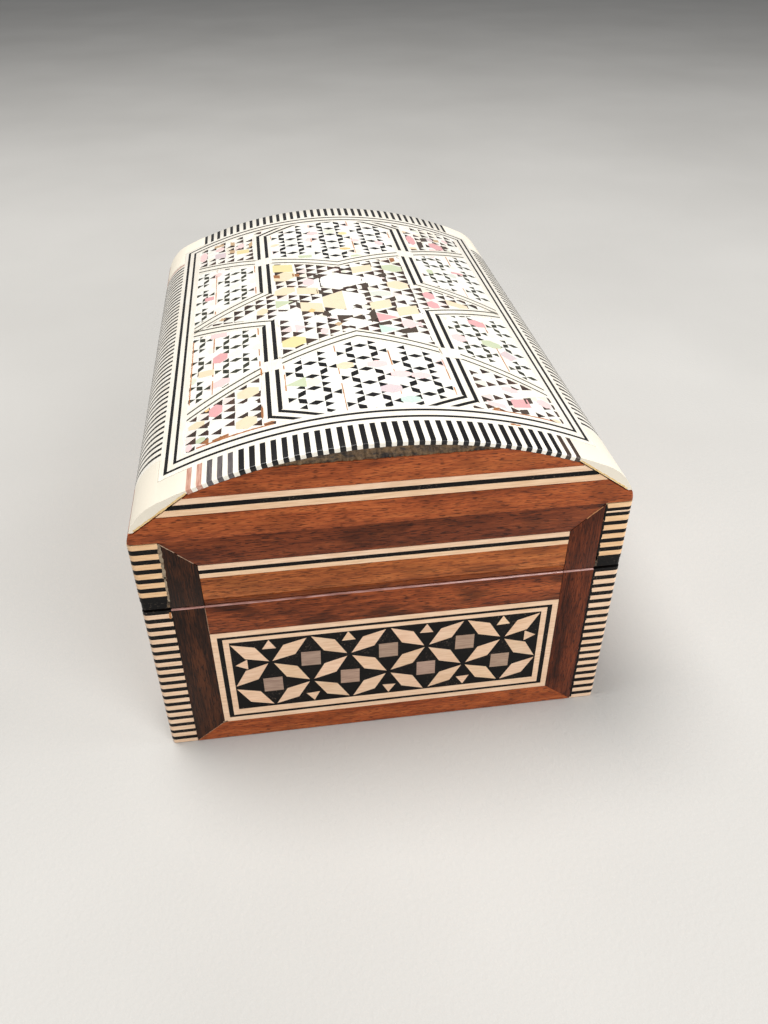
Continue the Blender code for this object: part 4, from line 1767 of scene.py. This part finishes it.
@dataclass(frozen=True)
class Lattice:
    """Columns of small dark triangles that all point one way, with pearl triangles between them."""

    fields: str          # the end or the whole of the names of its fields
    low: float           # where its columns start
    high: float          # where they end
    edge: float          # the upright edges of one column
    way: int             # 1 if the tiles point to the right, -1 if to the left
    first: float         # the middle of one tile of that column
    rise: float          # distance between the tiles of a column


@dataclass(frozen=True)
class StarLattice:
    """Columns of star rings in a pair of fields, with every second column shifted by half a pitch."""

    fields: str          # the start of the names of its fields
    x: float             # middle of one column
    y: float             # middle of one of its stars, in the front field
    column: float        # distance between the columns
    pitch: float         # distance between the stars of a column
    radius: float        # radius of the rings
    joints: float        # share of the long joints where the glue shows
    finish: Inlay


STAR_LATTICES = (
    StarLattice("centre_star", -0.4 * MM, -42.3 * MM, 11.4 * MM, 11.1 * MM, 2.98 * MM, 0.5, BLACK_LINE),
    StarLattice("left_star", -28.1 * MM, -14.2 * MM, 10.9 * MM, 12.0 * MM, 2.72 * MM, 0.8, OLIVE_LINE),
    StarLattice("right_star", 26.8 * MM, -16.9 * MM, 11.0 * MM, 11.1 * MM, 2.68 * MM, 0.6, OLIVE_LINE),
)

LATTICES = (
    Lattice("heart", -43 * MM, -0.6 * MM, -11.9 * MM, 1, -7.5 * MM, 3.08 * MM),
    Lattice("heart", -0.6 * MM, 43 * MM, 11.1 * MM, -1, -9.0 * MM, 3.08 * MM),
    Lattice("left_corner", -43 * MM, -18 * MM, -22.7 * MM, -1, -45.0 * MM, 2.90 * MM),
    Lattice("right_corner", 18 * MM, 43 * MM, 21.8 * MM, 1, -45.5 * MM, 2.90 * MM),
)


@dataclass
class VaultMosaic:
    """The pearl mosaic of the vault: star rings and triangles between inlaid straps."""

    run_half: float = 44.5 * MM
    length_half: float = 61.3 * MM
    frame_run: float = 39.2 * MM
    frame_length: float = 55.75 * MM
    ground_top: float = -0.10 * MM
    pearl_top: float = -0.075 * MM
    tile_top: float = -0.06 * MM
    pastel_top: float = -0.05 * MM
    strap_top: float = -0.016 * MM
    line_top: float = -0.008 * MM
    left_strap: float = -20.1 * MM
    right_strap: float = 19.3 * MM
    strap_width: float = 4.7 * MM
    thin_strap_width: float = 4.3 * MM
    line_gap: float = 1.1 * MM
    thick_line: float = 0.92 * MM
    thin_line: float = 0.56 * MM
    lattice_width: float = 2.78 * MM
    coarse_step: float = 1.5 * MM     # between the cuts that let long pieces bend
    fine_step: float = 1.2 * MM
    middle_y: float = -0.3 * MM       # where the layout is mirrored, and where the waist lies
    knot_y: float = -31.3 * MM        # where the straps cross
    shoulder_y: float = -9.4 * MM     # where a long strap turns towards the waist
    foot_y: float = -52.0 * MM        # where it turns towards the middle
    apex_y: float = -22.0 * MM        # the tip of a centre field, in the heart
    side_y: float = -41.6 * MM        # where the crossing strap meets the frame
    foot_cut: float = 7.0 * MM
    outer_line: tuple[float, ...] = (43.40 * MM, 60.05 * MM, 42.62 * MM, 59.30 * MM)
    inner_line: tuple[float, ...] = (41.40 * MM, 57.65 * MM, 40.72 * MM, 56.90 * MM)
    fields: dict[str, list[Spot]] = field(default_factory=dict)

    def __post_init__(self) -> None:
        """Works out the outlines of the fields from the lines of the straps."""
        left, right, out = self.left_strap, self.right_strap, self.frame_run + 1 * MM
        end = -self.frame_length - 1 * MM
        knot, shoulder, foot, cut = self.knot_y, self.shoulder_y, self.foot_y, self.foot_cut

        def back(outline: Sequence[Spot]) -> list[Spot]:
            """The mirror image of an outline of the front half."""
            return [(x, 2 * self.middle_y - y) for x, y in outline]

        outlines = {"centre_star": [(left, knot), self.apex, (right, knot), (right, foot),
                                    (right - cut, end), (left + cut, end), (left, foot)]}
        for word, hand, strap in (("left", -1, left), ("right", 1, right)):
            side, waist = (hand * out, self.side_y), (hand * out, self.middle_y)
            outlines[f"{word}_star"] = [side, (strap, knot), (strap, shoulder), waist]
            outlines[f"{word}_corner"] = [(hand * out, end), (strap - hand * cut, end), (strap, foot),
                                          (strap, knot), side]
        for word, outline in outlines.items():
            self.fields[f"{word}_front"] = outline
            self.fields[f"{word}_back"] = back(outline)
        heart = [(left, shoulder), (left, knot), self.apex, (right, knot), (right, shoulder)]
        self.fields["heart"] = [*heart, (out, self.middle_y), *reversed(back(heart)), (-out, self.middle_y)]

    @property
    def apex(self) -> Spot:
        """The tip of the front centre field."""
        return (self.left_strap + self.right_strap) / 2, self.apex_y

    def within(self, spot: Spot, names: Iterable[str]) -> bool:
        """Whether a spot lies in one of the named fields."""
        return any(inside(spot, self.fields[name]) for name in names)

    # The ground and the straps.

    def ground(self) -> Piece:
        """The pearl sheet that the tiles are let into, on the vault."""
        piece = slab("vault_pearl_ground", (-self.run_half, -self.length_half),
                     (self.run_half, self.length_half), self.ground_top, PEARL, 0.85 * MM)
        return VAULT.bend(score(piece, self.coarse_step))

    def border_frame(self) -> Piece:
        """The mitred frame: white with two black lines.

        Returns:
            The frame, on the vault.
        """
        whole = (self.run_half, self.length_half, self.frame_run, self.frame_length)
        parts = []
        for band, top, finish in ((whole, -0.01 * MM, WHITE_LINE), (self.outer_line, 0.0, BLACK_LINE),
                                  (self.inner_line, 0.0, BLACK_LINE)):
            out_run, out_end, in_run, in_end = band
            corner = Vector((out_end - in_end, out_run - in_run)).normalized()
            for hand, along in ((-1, True), (-1, False), (1, True), (1, False)):
                inn, out, half = (in_run, out_run, out_end) if along else (in_end, out_end, out_run)
                near, far = sorted((hand * inn, hand * out))
                low, high = ((near, -half), (far, half)) if along else ((-half, near), (half, far))
                part = slab("band", low, high, top, finish)
                for other in (-1, 1):
                    if along:
                        at, away = (hand * out_run, other * out_end), (-hand * corner.x, other * corner.y)
                    else:
                        at, away = (other * out_run, hand * out_end), (other * corner.x, -hand * corner.y)
                    saw(part, (*at, 0), (*away, 0))
                parts.append(score(part, self.coarse_step))
        return VAULT.bend(join("vault_frame", parts))

    def strap(self, points: Sequence[Spot], lines: Sequence[float]) -> list[Piece]:
        """A white strap with two black lines along a bent path, mitred at its turns.

        Args:
            points: The path's points.
            lines: Width of its lines on each stretch between two points.

        Returns:
            Its laths, flat.
        """
        laths = []
        ways = [(Vector(end) - Vector(start)).normalized() for start, end in zip(points, points[1:])]
        for index, (way, line) in enumerate(zip(ways, lines)):
            start, end = points[index], points[index + 1]
            thick = line > self.thin_line
            dark = BLACK_LINE if thick else GREY_LINE
            width = self.strap_width if thick else self.thin_strap_width
            for offset, wide, top, finish in ((0.0, width, self.strap_top, WHITE_LINE),
                                              (self.line_gap, line, self.line_top, dark),
                                              (-self.line_gap, line, self.line_top, dark)):
                piece = lath("lath", start, end, offset, wide, top, finish)
                if index > 0:
                    cut = ways[index - 1] + way
                    saw(piece, (*start, 0), (-cut.x, -cut.y, 0))
                if index + 1 < len(ways):
                    cut = way + ways[index + 1]
                    saw(piece, (*end, 0), (cut.x, cut.y, 0))
                for hand in (-1, 1):
                    saw(piece, (hand * self.frame_run, 0, 0), (hand, 0, 0))
                    saw(piece, (0, hand * self.frame_length, 0), (0, hand, 0))
                laths.append(score(piece, self.fine_step))
        return laths

    def straps(self) -> Piece:
        """All the straps, their chevrons and the knots where they cross.

        Returns:
            The straps, on the vault.
        """
        laths: list[Piece] = []
        for flip in (1, -1):
            def at(x: float, y: float) -> Spot:
                """A spot of the front half, or its mirror image at the back."""
                return (x, y) if flip > 0 else (x, 2 * self.middle_y - y)
            out = self.frame_run + 2 * MM
            laths += self.strap([at(-out, self.side_y - 1.0 * MM), at(self.left_strap, self.knot_y),
                                 at(*self.apex), at(self.right_strap, self.knot_y),
                                 at(out, self.side_y - 1.6 * MM)], [self.thin_line] * 4)
            for hand, strap in ((-1, self.left_strap), (1, self.right_strap)):
                foot = at(strap - hand * 7.5 * MM, self.foot_y - 4.3 * MM)
                laths += self.strap([foot, at(strap, self.foot_y), at(strap, self.shoulder_y),
                                     at(hand * out, self.middle_y - 0.2 * MM)],
                                    [self.thick_line, self.thick_line, self.thin_line])
                x, y = at(strap, self.knot_y)
                half = self.strap_width / 2
                knot = slab("knot", (x - half, y - half), (x + half, y + half), 0.0, WHITE_LINE)
                laths.append(score(knot, self.fine_step))
        return VAULT.bend(join("vault_straps", laths))

    # The tiles.

    def star_spots(self, lattice: StarLattice, step: Spot = (0.0, 0.0)) -> list[Spot]:
        """Middles of a lattice's stars, or the places at a step from them, in its own fields only.

        Args:
            lattice: The lattice.
            step: The step, in columns and pitches.

        Returns:
            The spots.
        """
        spots = []
        for column in range(-3, 4):
            shift = 0.5 if column % 2 else 0.0
            x = lattice.x + (column + step[0]) * lattice.column
            for row in range(-4, 5):
                y = lattice.y + (row + shift + step[1]) * lattice.pitch
                if lattice.y - 2.6 * lattice.pitch < y < 0:
                    spots += [(x, y), (x, 2 * self.middle_y - y)]
        return spots

    def star_tiles(self) -> tuple[list[Piece], list[Piece]]:
        """Lays the black rings of the star fields, and pearl pieces among them.

        Returns:
            The black tiles and the pearl pieces, flat.
        """
        hand = random.Random(5)
        black, pearl = [], []
        for lattice in STAR_LATTICES:
            names = [f"{lattice.fields}_front", f"{lattice.fields}_back"]
            radius = lattice.radius
            rhombus = prism("rhombus", 4, 0.5, self.tile_top)
            rhombus.scale = (0.60 * radius, 1.10 * radius, 1)
            paint(settle(rhombus, "rhombus"), lattice.finish)
            triangle = paint(prism("triangle", 3, 0.40 * radius, self.tile_top), lattice.finish)
            hexagon = paint(prism("hexagon", 6, 0.62 * radius, self.pearl_top), PEARL)
            for x, y in self.star_spots(lattice):
                for k in range(6):
                    for pattern, slope, far, turned in ((rhombus, 30 + 60 * k, 1.0, 30 + 60 * k),
                                                        (triangle, 60 * k, 1.62, 180 + 60 * k)):
                        spot = (x + far * radius * math.cos(math.radians(slope)),
                                y + far * radius * math.sin(math.radians(slope)))
                        if self.within(spot, names) and not self.covered(spot):
                            shade = hand.uniform(0.8, 1.3)
                            black.append(stamp(pattern, spot, turned + hand.uniform(-4, 4), (shade,) * 3))
            for step in ((0.5, 0.0), (0.5, 0.5), (0.0, 0.5)):
                for spot in self.star_spots(lattice, step):
                    if self.within(spot, names) and not self.covered(spot):
                        pearl.append(stamp(hexagon, spot, 0, self.pastel(hand, 0.22)))
            discard(rhombus, triangle, hexagon)
        return black, pearl

    @staticmethod
    def pastel(hand: random.Random, share: float) -> Colour:
        """A stain for a pearl piece.

        Args:
            hand: The choice of the shell's pieces.
            share: How many of them are coloured at all.

        Returns:
            The stain.
        """
        if hand.random() > share:
            value = hand.uniform(0.90, 1.0)
            return value, value, value * 0.98
        tone = hand.choice((Shell.PINK, Shell.GREEN, Shell.CREAM, Shell.PEACH, Shell.GREY, Shell.ROSE)).value
        fade = hand.uniform(0.45, 0.85)
        return tone[0] + (1 - tone[0]) * fade, tone[1] + (1 - tone[1]) * fade, tone[2] + (1 - tone[2]) * fade

    @staticmethod
    def covered(spot: Spot) -> bool:
        """Whether a spot lies well under one of the broad pale pieces.

        Args:
            spot: The spot.

        Returns:
            True if it does.
        """
        for broad in BROAD_PIECES:
            pale = broad.tone not in (Shell.DARK, Shell.RUST) and broad.width > 2.5
            across = (spot[0] / MM - broad.x) / broad.width
            along = (spot[1] / MM - broad.y) / broad.height
            if pale and across * across + along * along < 0.15:
                return True
        return False

    def triangle_tiles(self) -> tuple[list[Piece], list[Piece]]:
        """Lays the triangles of the heart and the corner fields.

        Returns:
            The dark tiles and the pearl pieces, flat.
        """
        hand = random.Random(8)
        dark, pearl = [], []
        for lattice in LATTICES:
            names = [name for name in self.fields if name.startswith(lattice.fields)]
            heart = lattice.fields == "heart"
            sizes = (0.80, 0.86, 0.92, 1.0) if heart else (0.72, 0.78, 0.84, 0.90)
            missing = 0.05 if heart else 0.20
            dark_tiles = [self.lattice_tile("dark", self.tile_top, share, lattice, BROWN_TILE)
                          for share in sizes]
            light_tile = self.lattice_tile("light", self.pearl_top, 0.95, lattice, PEARL)
            width = self.lattice_width
            turned = 0 if lattice.way > 0 else 180
            start = math.ceil((lattice.low - lattice.edge) / width)
            for column in range(start, math.floor((lattice.high - lattice.edge) / width) + 1):
                x = lattice.edge + column * width
                shift = lattice.first + (0.5 if column % 2 else 0.0) * lattice.rise
                for row in range(-14, 40):
                    y = shift + row * lattice.rise
                    spot = (x + lattice.way * width / 3, y)
                    if hand.random() > missing and self.within(spot, names) and not self.covered(spot):
                        shade, warm = hand.uniform(0.6, 1.4), hand.uniform(0.80, 1.0)
                        dark.append(stamp(hand.choice(dark_tiles), spot, turned + hand.uniform(-4, 4),
                                          (shade, shade * warm, shade * warm)))
                    spot = (x + lattice.way * 2 * width / 3, y + lattice.rise / 2)
                    if self.within(spot, names) and not self.covered(spot):
                        pearl.append(stamp(light_tile, spot, 180 + turned + hand.uniform(-3, 3),
                                           self.pastel(hand, 0.42)))
            discard(light_tile, *dark_tiles)
        return dark, pearl

    def lattice_tile(self, name: str, top: float, share: float, lattice: Lattice, finish: Finish) -> Piece:
        """A triangle of a lattice, which points to the right.

        Args:
            name: Its name.
            top: Its upper face, over the surface.
            share: Its size, as a share of the lattice's.
            lattice: The lattice.
            finish: Its finish.

        Returns:
            The tile, over the origin.
        """
        tile = prism(name, 3, 1.0, top)
        tile.scale = (share * self.lattice_width / 1.5, share * lattice.rise / math.sqrt(3), 1)
        return paint(settle(tile, name), finish)

    def broad_pieces(self) -> list[Piece]:
        """Lays the broad coloured shell pieces.

        Returns:
            The pieces, flat.
        """
        patterns: dict[Cut, Piece] = {}
        for cut in Cut:
            if cut in (Cut.FALLING, Cut.RISING):
                pattern = slab("pattern", (-0.5, -0.5), (0.5, 0.5), self.pastel_top)
                slope = 1 if cut is Cut.FALLING else -1
                for way in (-1, 1):
                    saw(pattern, (0, 0.34 * way, 0), (0.32 * slope * way, way, 0))
            elif cut is Cut.ARROW:
                pattern = prism("pattern", 3, 1.0, self.pastel_top)
                pattern.scale = (1 / 1.5, 1 / math.sqrt(3), 1)
                settle(pattern, "pattern")
            elif cut is Cut.DIAMOND:
                pattern = prism("pattern", 4, 0.5, self.pastel_top)
            else:
                pattern = prism("pattern", 6, 0.5, self.pastel_top)
                pattern.rotation_euler = (0, 0, math.pi / 2)
                settle(pattern, "pattern")
                pattern.scale = (2 / math.sqrt(3), 1, 1)
                settle(pattern, "pattern")
                if cut is Cut.HALF:
                    saw(pattern, (0, 0, 0), (-1, 0, 0))
            patterns[cut] = paint(pattern, PEARL)
        pieces = []
        for broad in BROAD_PIECES:
            pattern = patterns[broad.cut]
            lift = 0.012 * MM if broad.cut in (Cut.HALF, Cut.DIAMOND) else 0.0
            copy = stamp(pattern, (0, 0), 0, broad.tone.value)
            shape = Matrix.Diagonal((broad.width * MM, broad.height * MM, 1, 1))
            place = Matrix.Translation((broad.x * MM, broad.y * MM, lift))
            copy.data.transform(place @ Matrix.Rotation(math.radians(broad.turned), 4, "Z") @ shape)
            pieces.append(copy)
        discard(*patterns.values())
        return pieces

    def joints(self) -> list[Piece]:
        """The brown glue that shows here and there in the long joints of the star fields.

        Returns:
            The joints, flat.
        """
        hand = random.Random(14)
        top = self.pearl_top + 0.005 * MM
        pieces = []
        for lattice in STAR_LATTICES:
            names = [f"{lattice.fields}_front", f"{lattice.fields}_back"]
            for edge in range(-3, 3):
                x = lattice.x + (edge + 0.5) * lattice.column
                y = -self.frame_length
                while y < self.frame_length:
                    length = hand.uniform(1.5, 5.0) * MM
                    half = hand.uniform(0.06, 0.16) * MM
                    if hand.random() < lattice.joints and self.within((x, y + length / 2), names):
                        pieces.append(slab("joint", (x - half, y), (x + half, y + length), top, GLUE,
                                           0.3 * MM))
                    y += length
        return pieces

    def build(self) -> None:
        """Makes the vault's pieces."""
        fit(smooth(self.ground(), 40), "pearl_mosaic", "lid_mosaic_sheet")
        fit(smooth(self.border_frame(), 40), "striped_inlay")
        fit(smooth(self.straps(), 40), "striped_inlay")
        fit(smooth(VAULT.bend(join("vault_joints", self.joints())), 40), "carcass_wood")
        broad = score(join("vault_broad_pearl", self.broad_pieces()), self.fine_step)
        fit(smooth(VAULT.bend(broad), 40), "pearl_mosaic")
        ring_tiles, ring_pearl = self.star_tiles()
        dark_tiles, light_tiles = self.triangle_tiles()
        for name, tiles, slot in (("vault_star_tiles", ring_tiles, "mosaic_inlay"),
                                  ("vault_triangle_tiles", dark_tiles, "mosaic_inlay"),
                                  ("vault_pearl_tiles", ring_pearl + light_tiles, "pearl_mosaic")):
            fit(smooth(VAULT.bend(join(name, tiles)), 40), slot)


# The old mends and dirt.


@dataclass(frozen=True)
class Streak:
    """A ragged streak of putty, glue or dirt between two spots."""

    start: Spot
    end: Spot
    width: float
    finish: Finish
    tint: Colour = (1, 1, 1)

    def lay(self, top: float, hand: random.Random) -> Piece:
        """Lays the streak flat, with x and y as its spots say.

        Args:
            top: Its upper face.
            hand: The unevenness of its edges.

        Returns:
            The streak.
        """
        way = Vector(self.end) - Vector(self.start)
        half = self.width * MM / 2
        piece = score(slab("streak", (0, -half), (way.length * MM, half), top, depth=0.2 * MM), 0.45 * MM)
        for vertex in piece.data.vertices:
            vertex.co.y *= hand.uniform(0.35, 1.0)
        piece.rotation_euler = (0, 0, math.atan2(way.y, way.x))
        piece.location = (self.start[0] * MM, self.start[1] * MM, 0)
        settle(piece, "streak")
        return tinted(paint(piece, self.finish), self.tint)


FRONT_STREAKS = (
    Streak((-44.2, 43.3), (-44.1, 50.0), 0.55, GREY_PUTTY),
    Streak((-44.1, 49.6), (-44.0, 58.2), 0.85, GREY_PUTTY, (0.9, 0.9, 0.85)),
    Streak((-43.8, 58.0), (-41.4, 55.8), 0.22, PALE_GLUE, (0.9, 0.85, 0.8)),
    Streak((-40.9, 55.2), (-38.2, 52.7), 0.16, PALE_GLUE, (0.9, 0.8, 0.75)),
    Streak((40.6, 55.0), (43.6, 57.7), 0.30, GLUE, (1.0, 0.95, 0.85)),
    Streak((-37.5, 33.6), (-37.5, 40.8), 0.14, PALE_GLUE, (0.75, 0.62, 0.52)),
    Streak((-44.0, 0.4), (-37.7, 5.5), 0.14, PALE_GLUE, (0.8, 0.68, 0.56)),
    Streak((-37.9, 5.6), (-36.8, 5.8), 0.5, PALE_GLUE, (0.8, 0.75, 0.7)),
    Streak((-44.6, 38.9), (-44.5, 40.6), 0.6, GLUE, (1.0, 0.92, 0.60)),
    Streak((-44.5, 41.9), (-44.4, 43.6), 0.7, FILLER),
    Streak((44.4, 42.0), (44.4, 45.5), 0.7, FILLER, (0.6, 0.6, 0.6)),
    Streak((44.35, 43.5), (44.4, 58.2), 0.6, EBONY[Grain.UPRIGHT]),
    Streak((44.4, 0.6), (44.4, 41.0), 0.7, EBONY[Grain.UPRIGHT]),
    Streak((-48.0, 61.75), (-37.3, 69.4), 0.5, YELLOW_BONE),
    Streak((37.3, 69.4), (48.0, 61.75), 0.45, YELLOW_BONE),
)
VAULT_STREAKS = (
    Streak((25.4, -60.5), (27.6, -60.6), 0.8, GLUE),
    Streak((17.1, -29.6), (17.3, -32.4), 0.4, GREY_PUTTY, (0.7, 0.65, 0.6)),
    Streak((-22.45, -31.4), (-22.4, -34.6), 0.5, GLUE, (1.0, 1.0, 0.9)),
    Streak((-39.0, -6.0), (-38.9, -36.5), 0.32, GLUE, (0.95, 0.90, 0.85)),
    Streak((-36.5, -55.3), (-20.5, -55.5), 0.45, GLUE, (0.9, 0.75, 0.6)),
    Streak((23.0, -55.5), (36.5, -55.4), 0.35, GLUE, (0.8, 0.7, 0.65)),
)


def lay_streaks() -> None:
    """Lays the streaks of the front end and of the vault."""
    hand = random.Random(41)
    front = join("front_streaks", [streak.lay(0.0, hand) for streak in FRONT_STREAKS])
    front.rotation_euler = (math.pi / 2, 0, 0)
    front.location = (0, -HALF_LENGTH, 0)
    fit(settle(front, "front_streaks"), "carcass_wood")
    vault = join("vault_streaks", [streak.lay(0.004 * MM, hand) for streak in VAULT_STREAKS])
    fit(VAULT.bend(vault), "carcass_wood")


# The carcasses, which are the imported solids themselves.


def dress_carcasses() -> None:
    """Gives the two hollow carcasses their plain wood."""
    for node in ("base_carcass", "lid_carcass"):
        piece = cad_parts[node]
        piece.data.materials.clear()
        piece.data.materials.append(CARCASS.material())
        tinted(piece, (1, 1, 1))
        log.info("%s: packed solid in plain wood", node)


# The studio.


@dataclass
class Studio:
    """A pale floor, soft lights and the camera."""

    camera_at: Point = (-0.01905819, -0.19796024, 0.15916145)
    right: Point = (0.98999311, -0.14109166, -0.00260699)
    up: Point = (0.08667333, 0.59337143, 0.80024876)
    back: Point = (-0.11136151, -0.79246671, 0.59966251)
    lens: float = 29.8087
    floor_half: float = 5.0

    def camera(self) -> None:
        """Sets the camera at the photograph's angle."""
        data = bpy.data.cameras.new("camera")
        data.sensor_fit = "VERTICAL"
        data.sensor_height = 36
        data.lens = self.lens
        data.clip_start = 0.01
        camera = bpy.data.objects.new("camera", data)
        bpy.context.scene.collection.objects.link(camera)
        turned = Matrix((self.right, self.up, self.back)).transposed().to_4x4()
        camera.matrix_world = Matrix.Translation(self.camera_at) @ turned
        bpy.context.scene.camera = camera

    def light(self, name: str, at: Point, size: float, power: float, colour: Colour = (1, 1, 1)) -> None:
        """Hangs a soft light that looks at the box.

        Args:
            name: Its name.
            at: Its place.
            size: Its width.
            power: Its power in watts.
            colour: Its colour.
        """
        data = bpy.data.lights.new(name, "AREA")
        data.shape = "DISK"
        data.size = size
        data.energy = power
        data.color = colour
        lamp = bpy.data.objects.new(name, data)
        bpy.context.scene.collection.objects.link(lamp)
        lamp.location = at
        lamp.rotation_euler = (Vector(at) - Vector((0, 0, 0.04))).to_track_quat("Z", "Y").to_euler()

    def floor(self) -> None:
        """Lays the floor."""
        bpy.ops.mesh.primitive_plane_add(size=2 * self.floor_half)
        floor = settle(bpy.context.object, "floor")
        mix = Recipe("pale_floor", 0.85)
        cloud = mix.noise(mix.place([8] * 3), 1, 3, 0.5)
        grains = mix.noise(mix.place([900] * 3), 1, 2, 0.6)
        colour = mix.ramp(cloud, ((0.3, srgb(192, 190, 186)), (0.7, srgb(200, 198, 194))))
        floor.data.materials.append(mix.dress(colour, None, grains, 0.1 * MM))

    def build(self) -> None:
        """Sets up the whole studio."""
        self.camera()
        self.floor()
        self.light("key", (-0.20, 0.08, 0.90), 0.5, 8.5, (1.0, 0.985, 0.96))
        self.light("front", (0.50, -0.80, 0.50), 0.6, 6.1)
        self.light("side", (0.8, -0.1, 0.4), 0.5, 2.0)
        world = bpy.data.worlds.new("studio")
        world.use_nodes = True
        world.node_tree.nodes["Background"].inputs["Color"].default_value = (0.9, 0.92, 0.95, 1)
        world.node_tree.nodes["Background"].inputs["Strength"].default_value = 0.22
        bpy.context.scene.world = world
        bpy.context.scene.view_settings.view_transform = "Standard"


def main() -> None:
    """Builds the box, piece by piece."""
    logging.basicConfig(level=logging.INFO, format="%(name)s: %(message)s")
    Studio().build()
    for side, seed in ((Side.FRONT, 101), (Side.BACK, 102)):
        BaseWall(side, HALF_LENGTH, HALF_WIDTH, half_steps=4, seed=seed).build()
    for side, seed in ((Side.LEFT, 103), (Side.RIGHT, 104)):
        BaseWall(side, HALF_WIDTH, HALF_LENGTH, half_steps=6, seed=seed).build()
    CornerStrip().build_all()
    LidEnd(Side.FRONT, seed=201).build()
    LidEnd(Side.BACK, seed=202).build()
    LidSide(Side.LEFT).build()
    LidSide(Side.RIGHT).build()
    Borders().build()
    BoneCorners().build()
    VaultMosaic().build()
    lay_streaks()
    dress_carcasses()
    VAULT.clear()


if __name__ == "__main__":
    main()
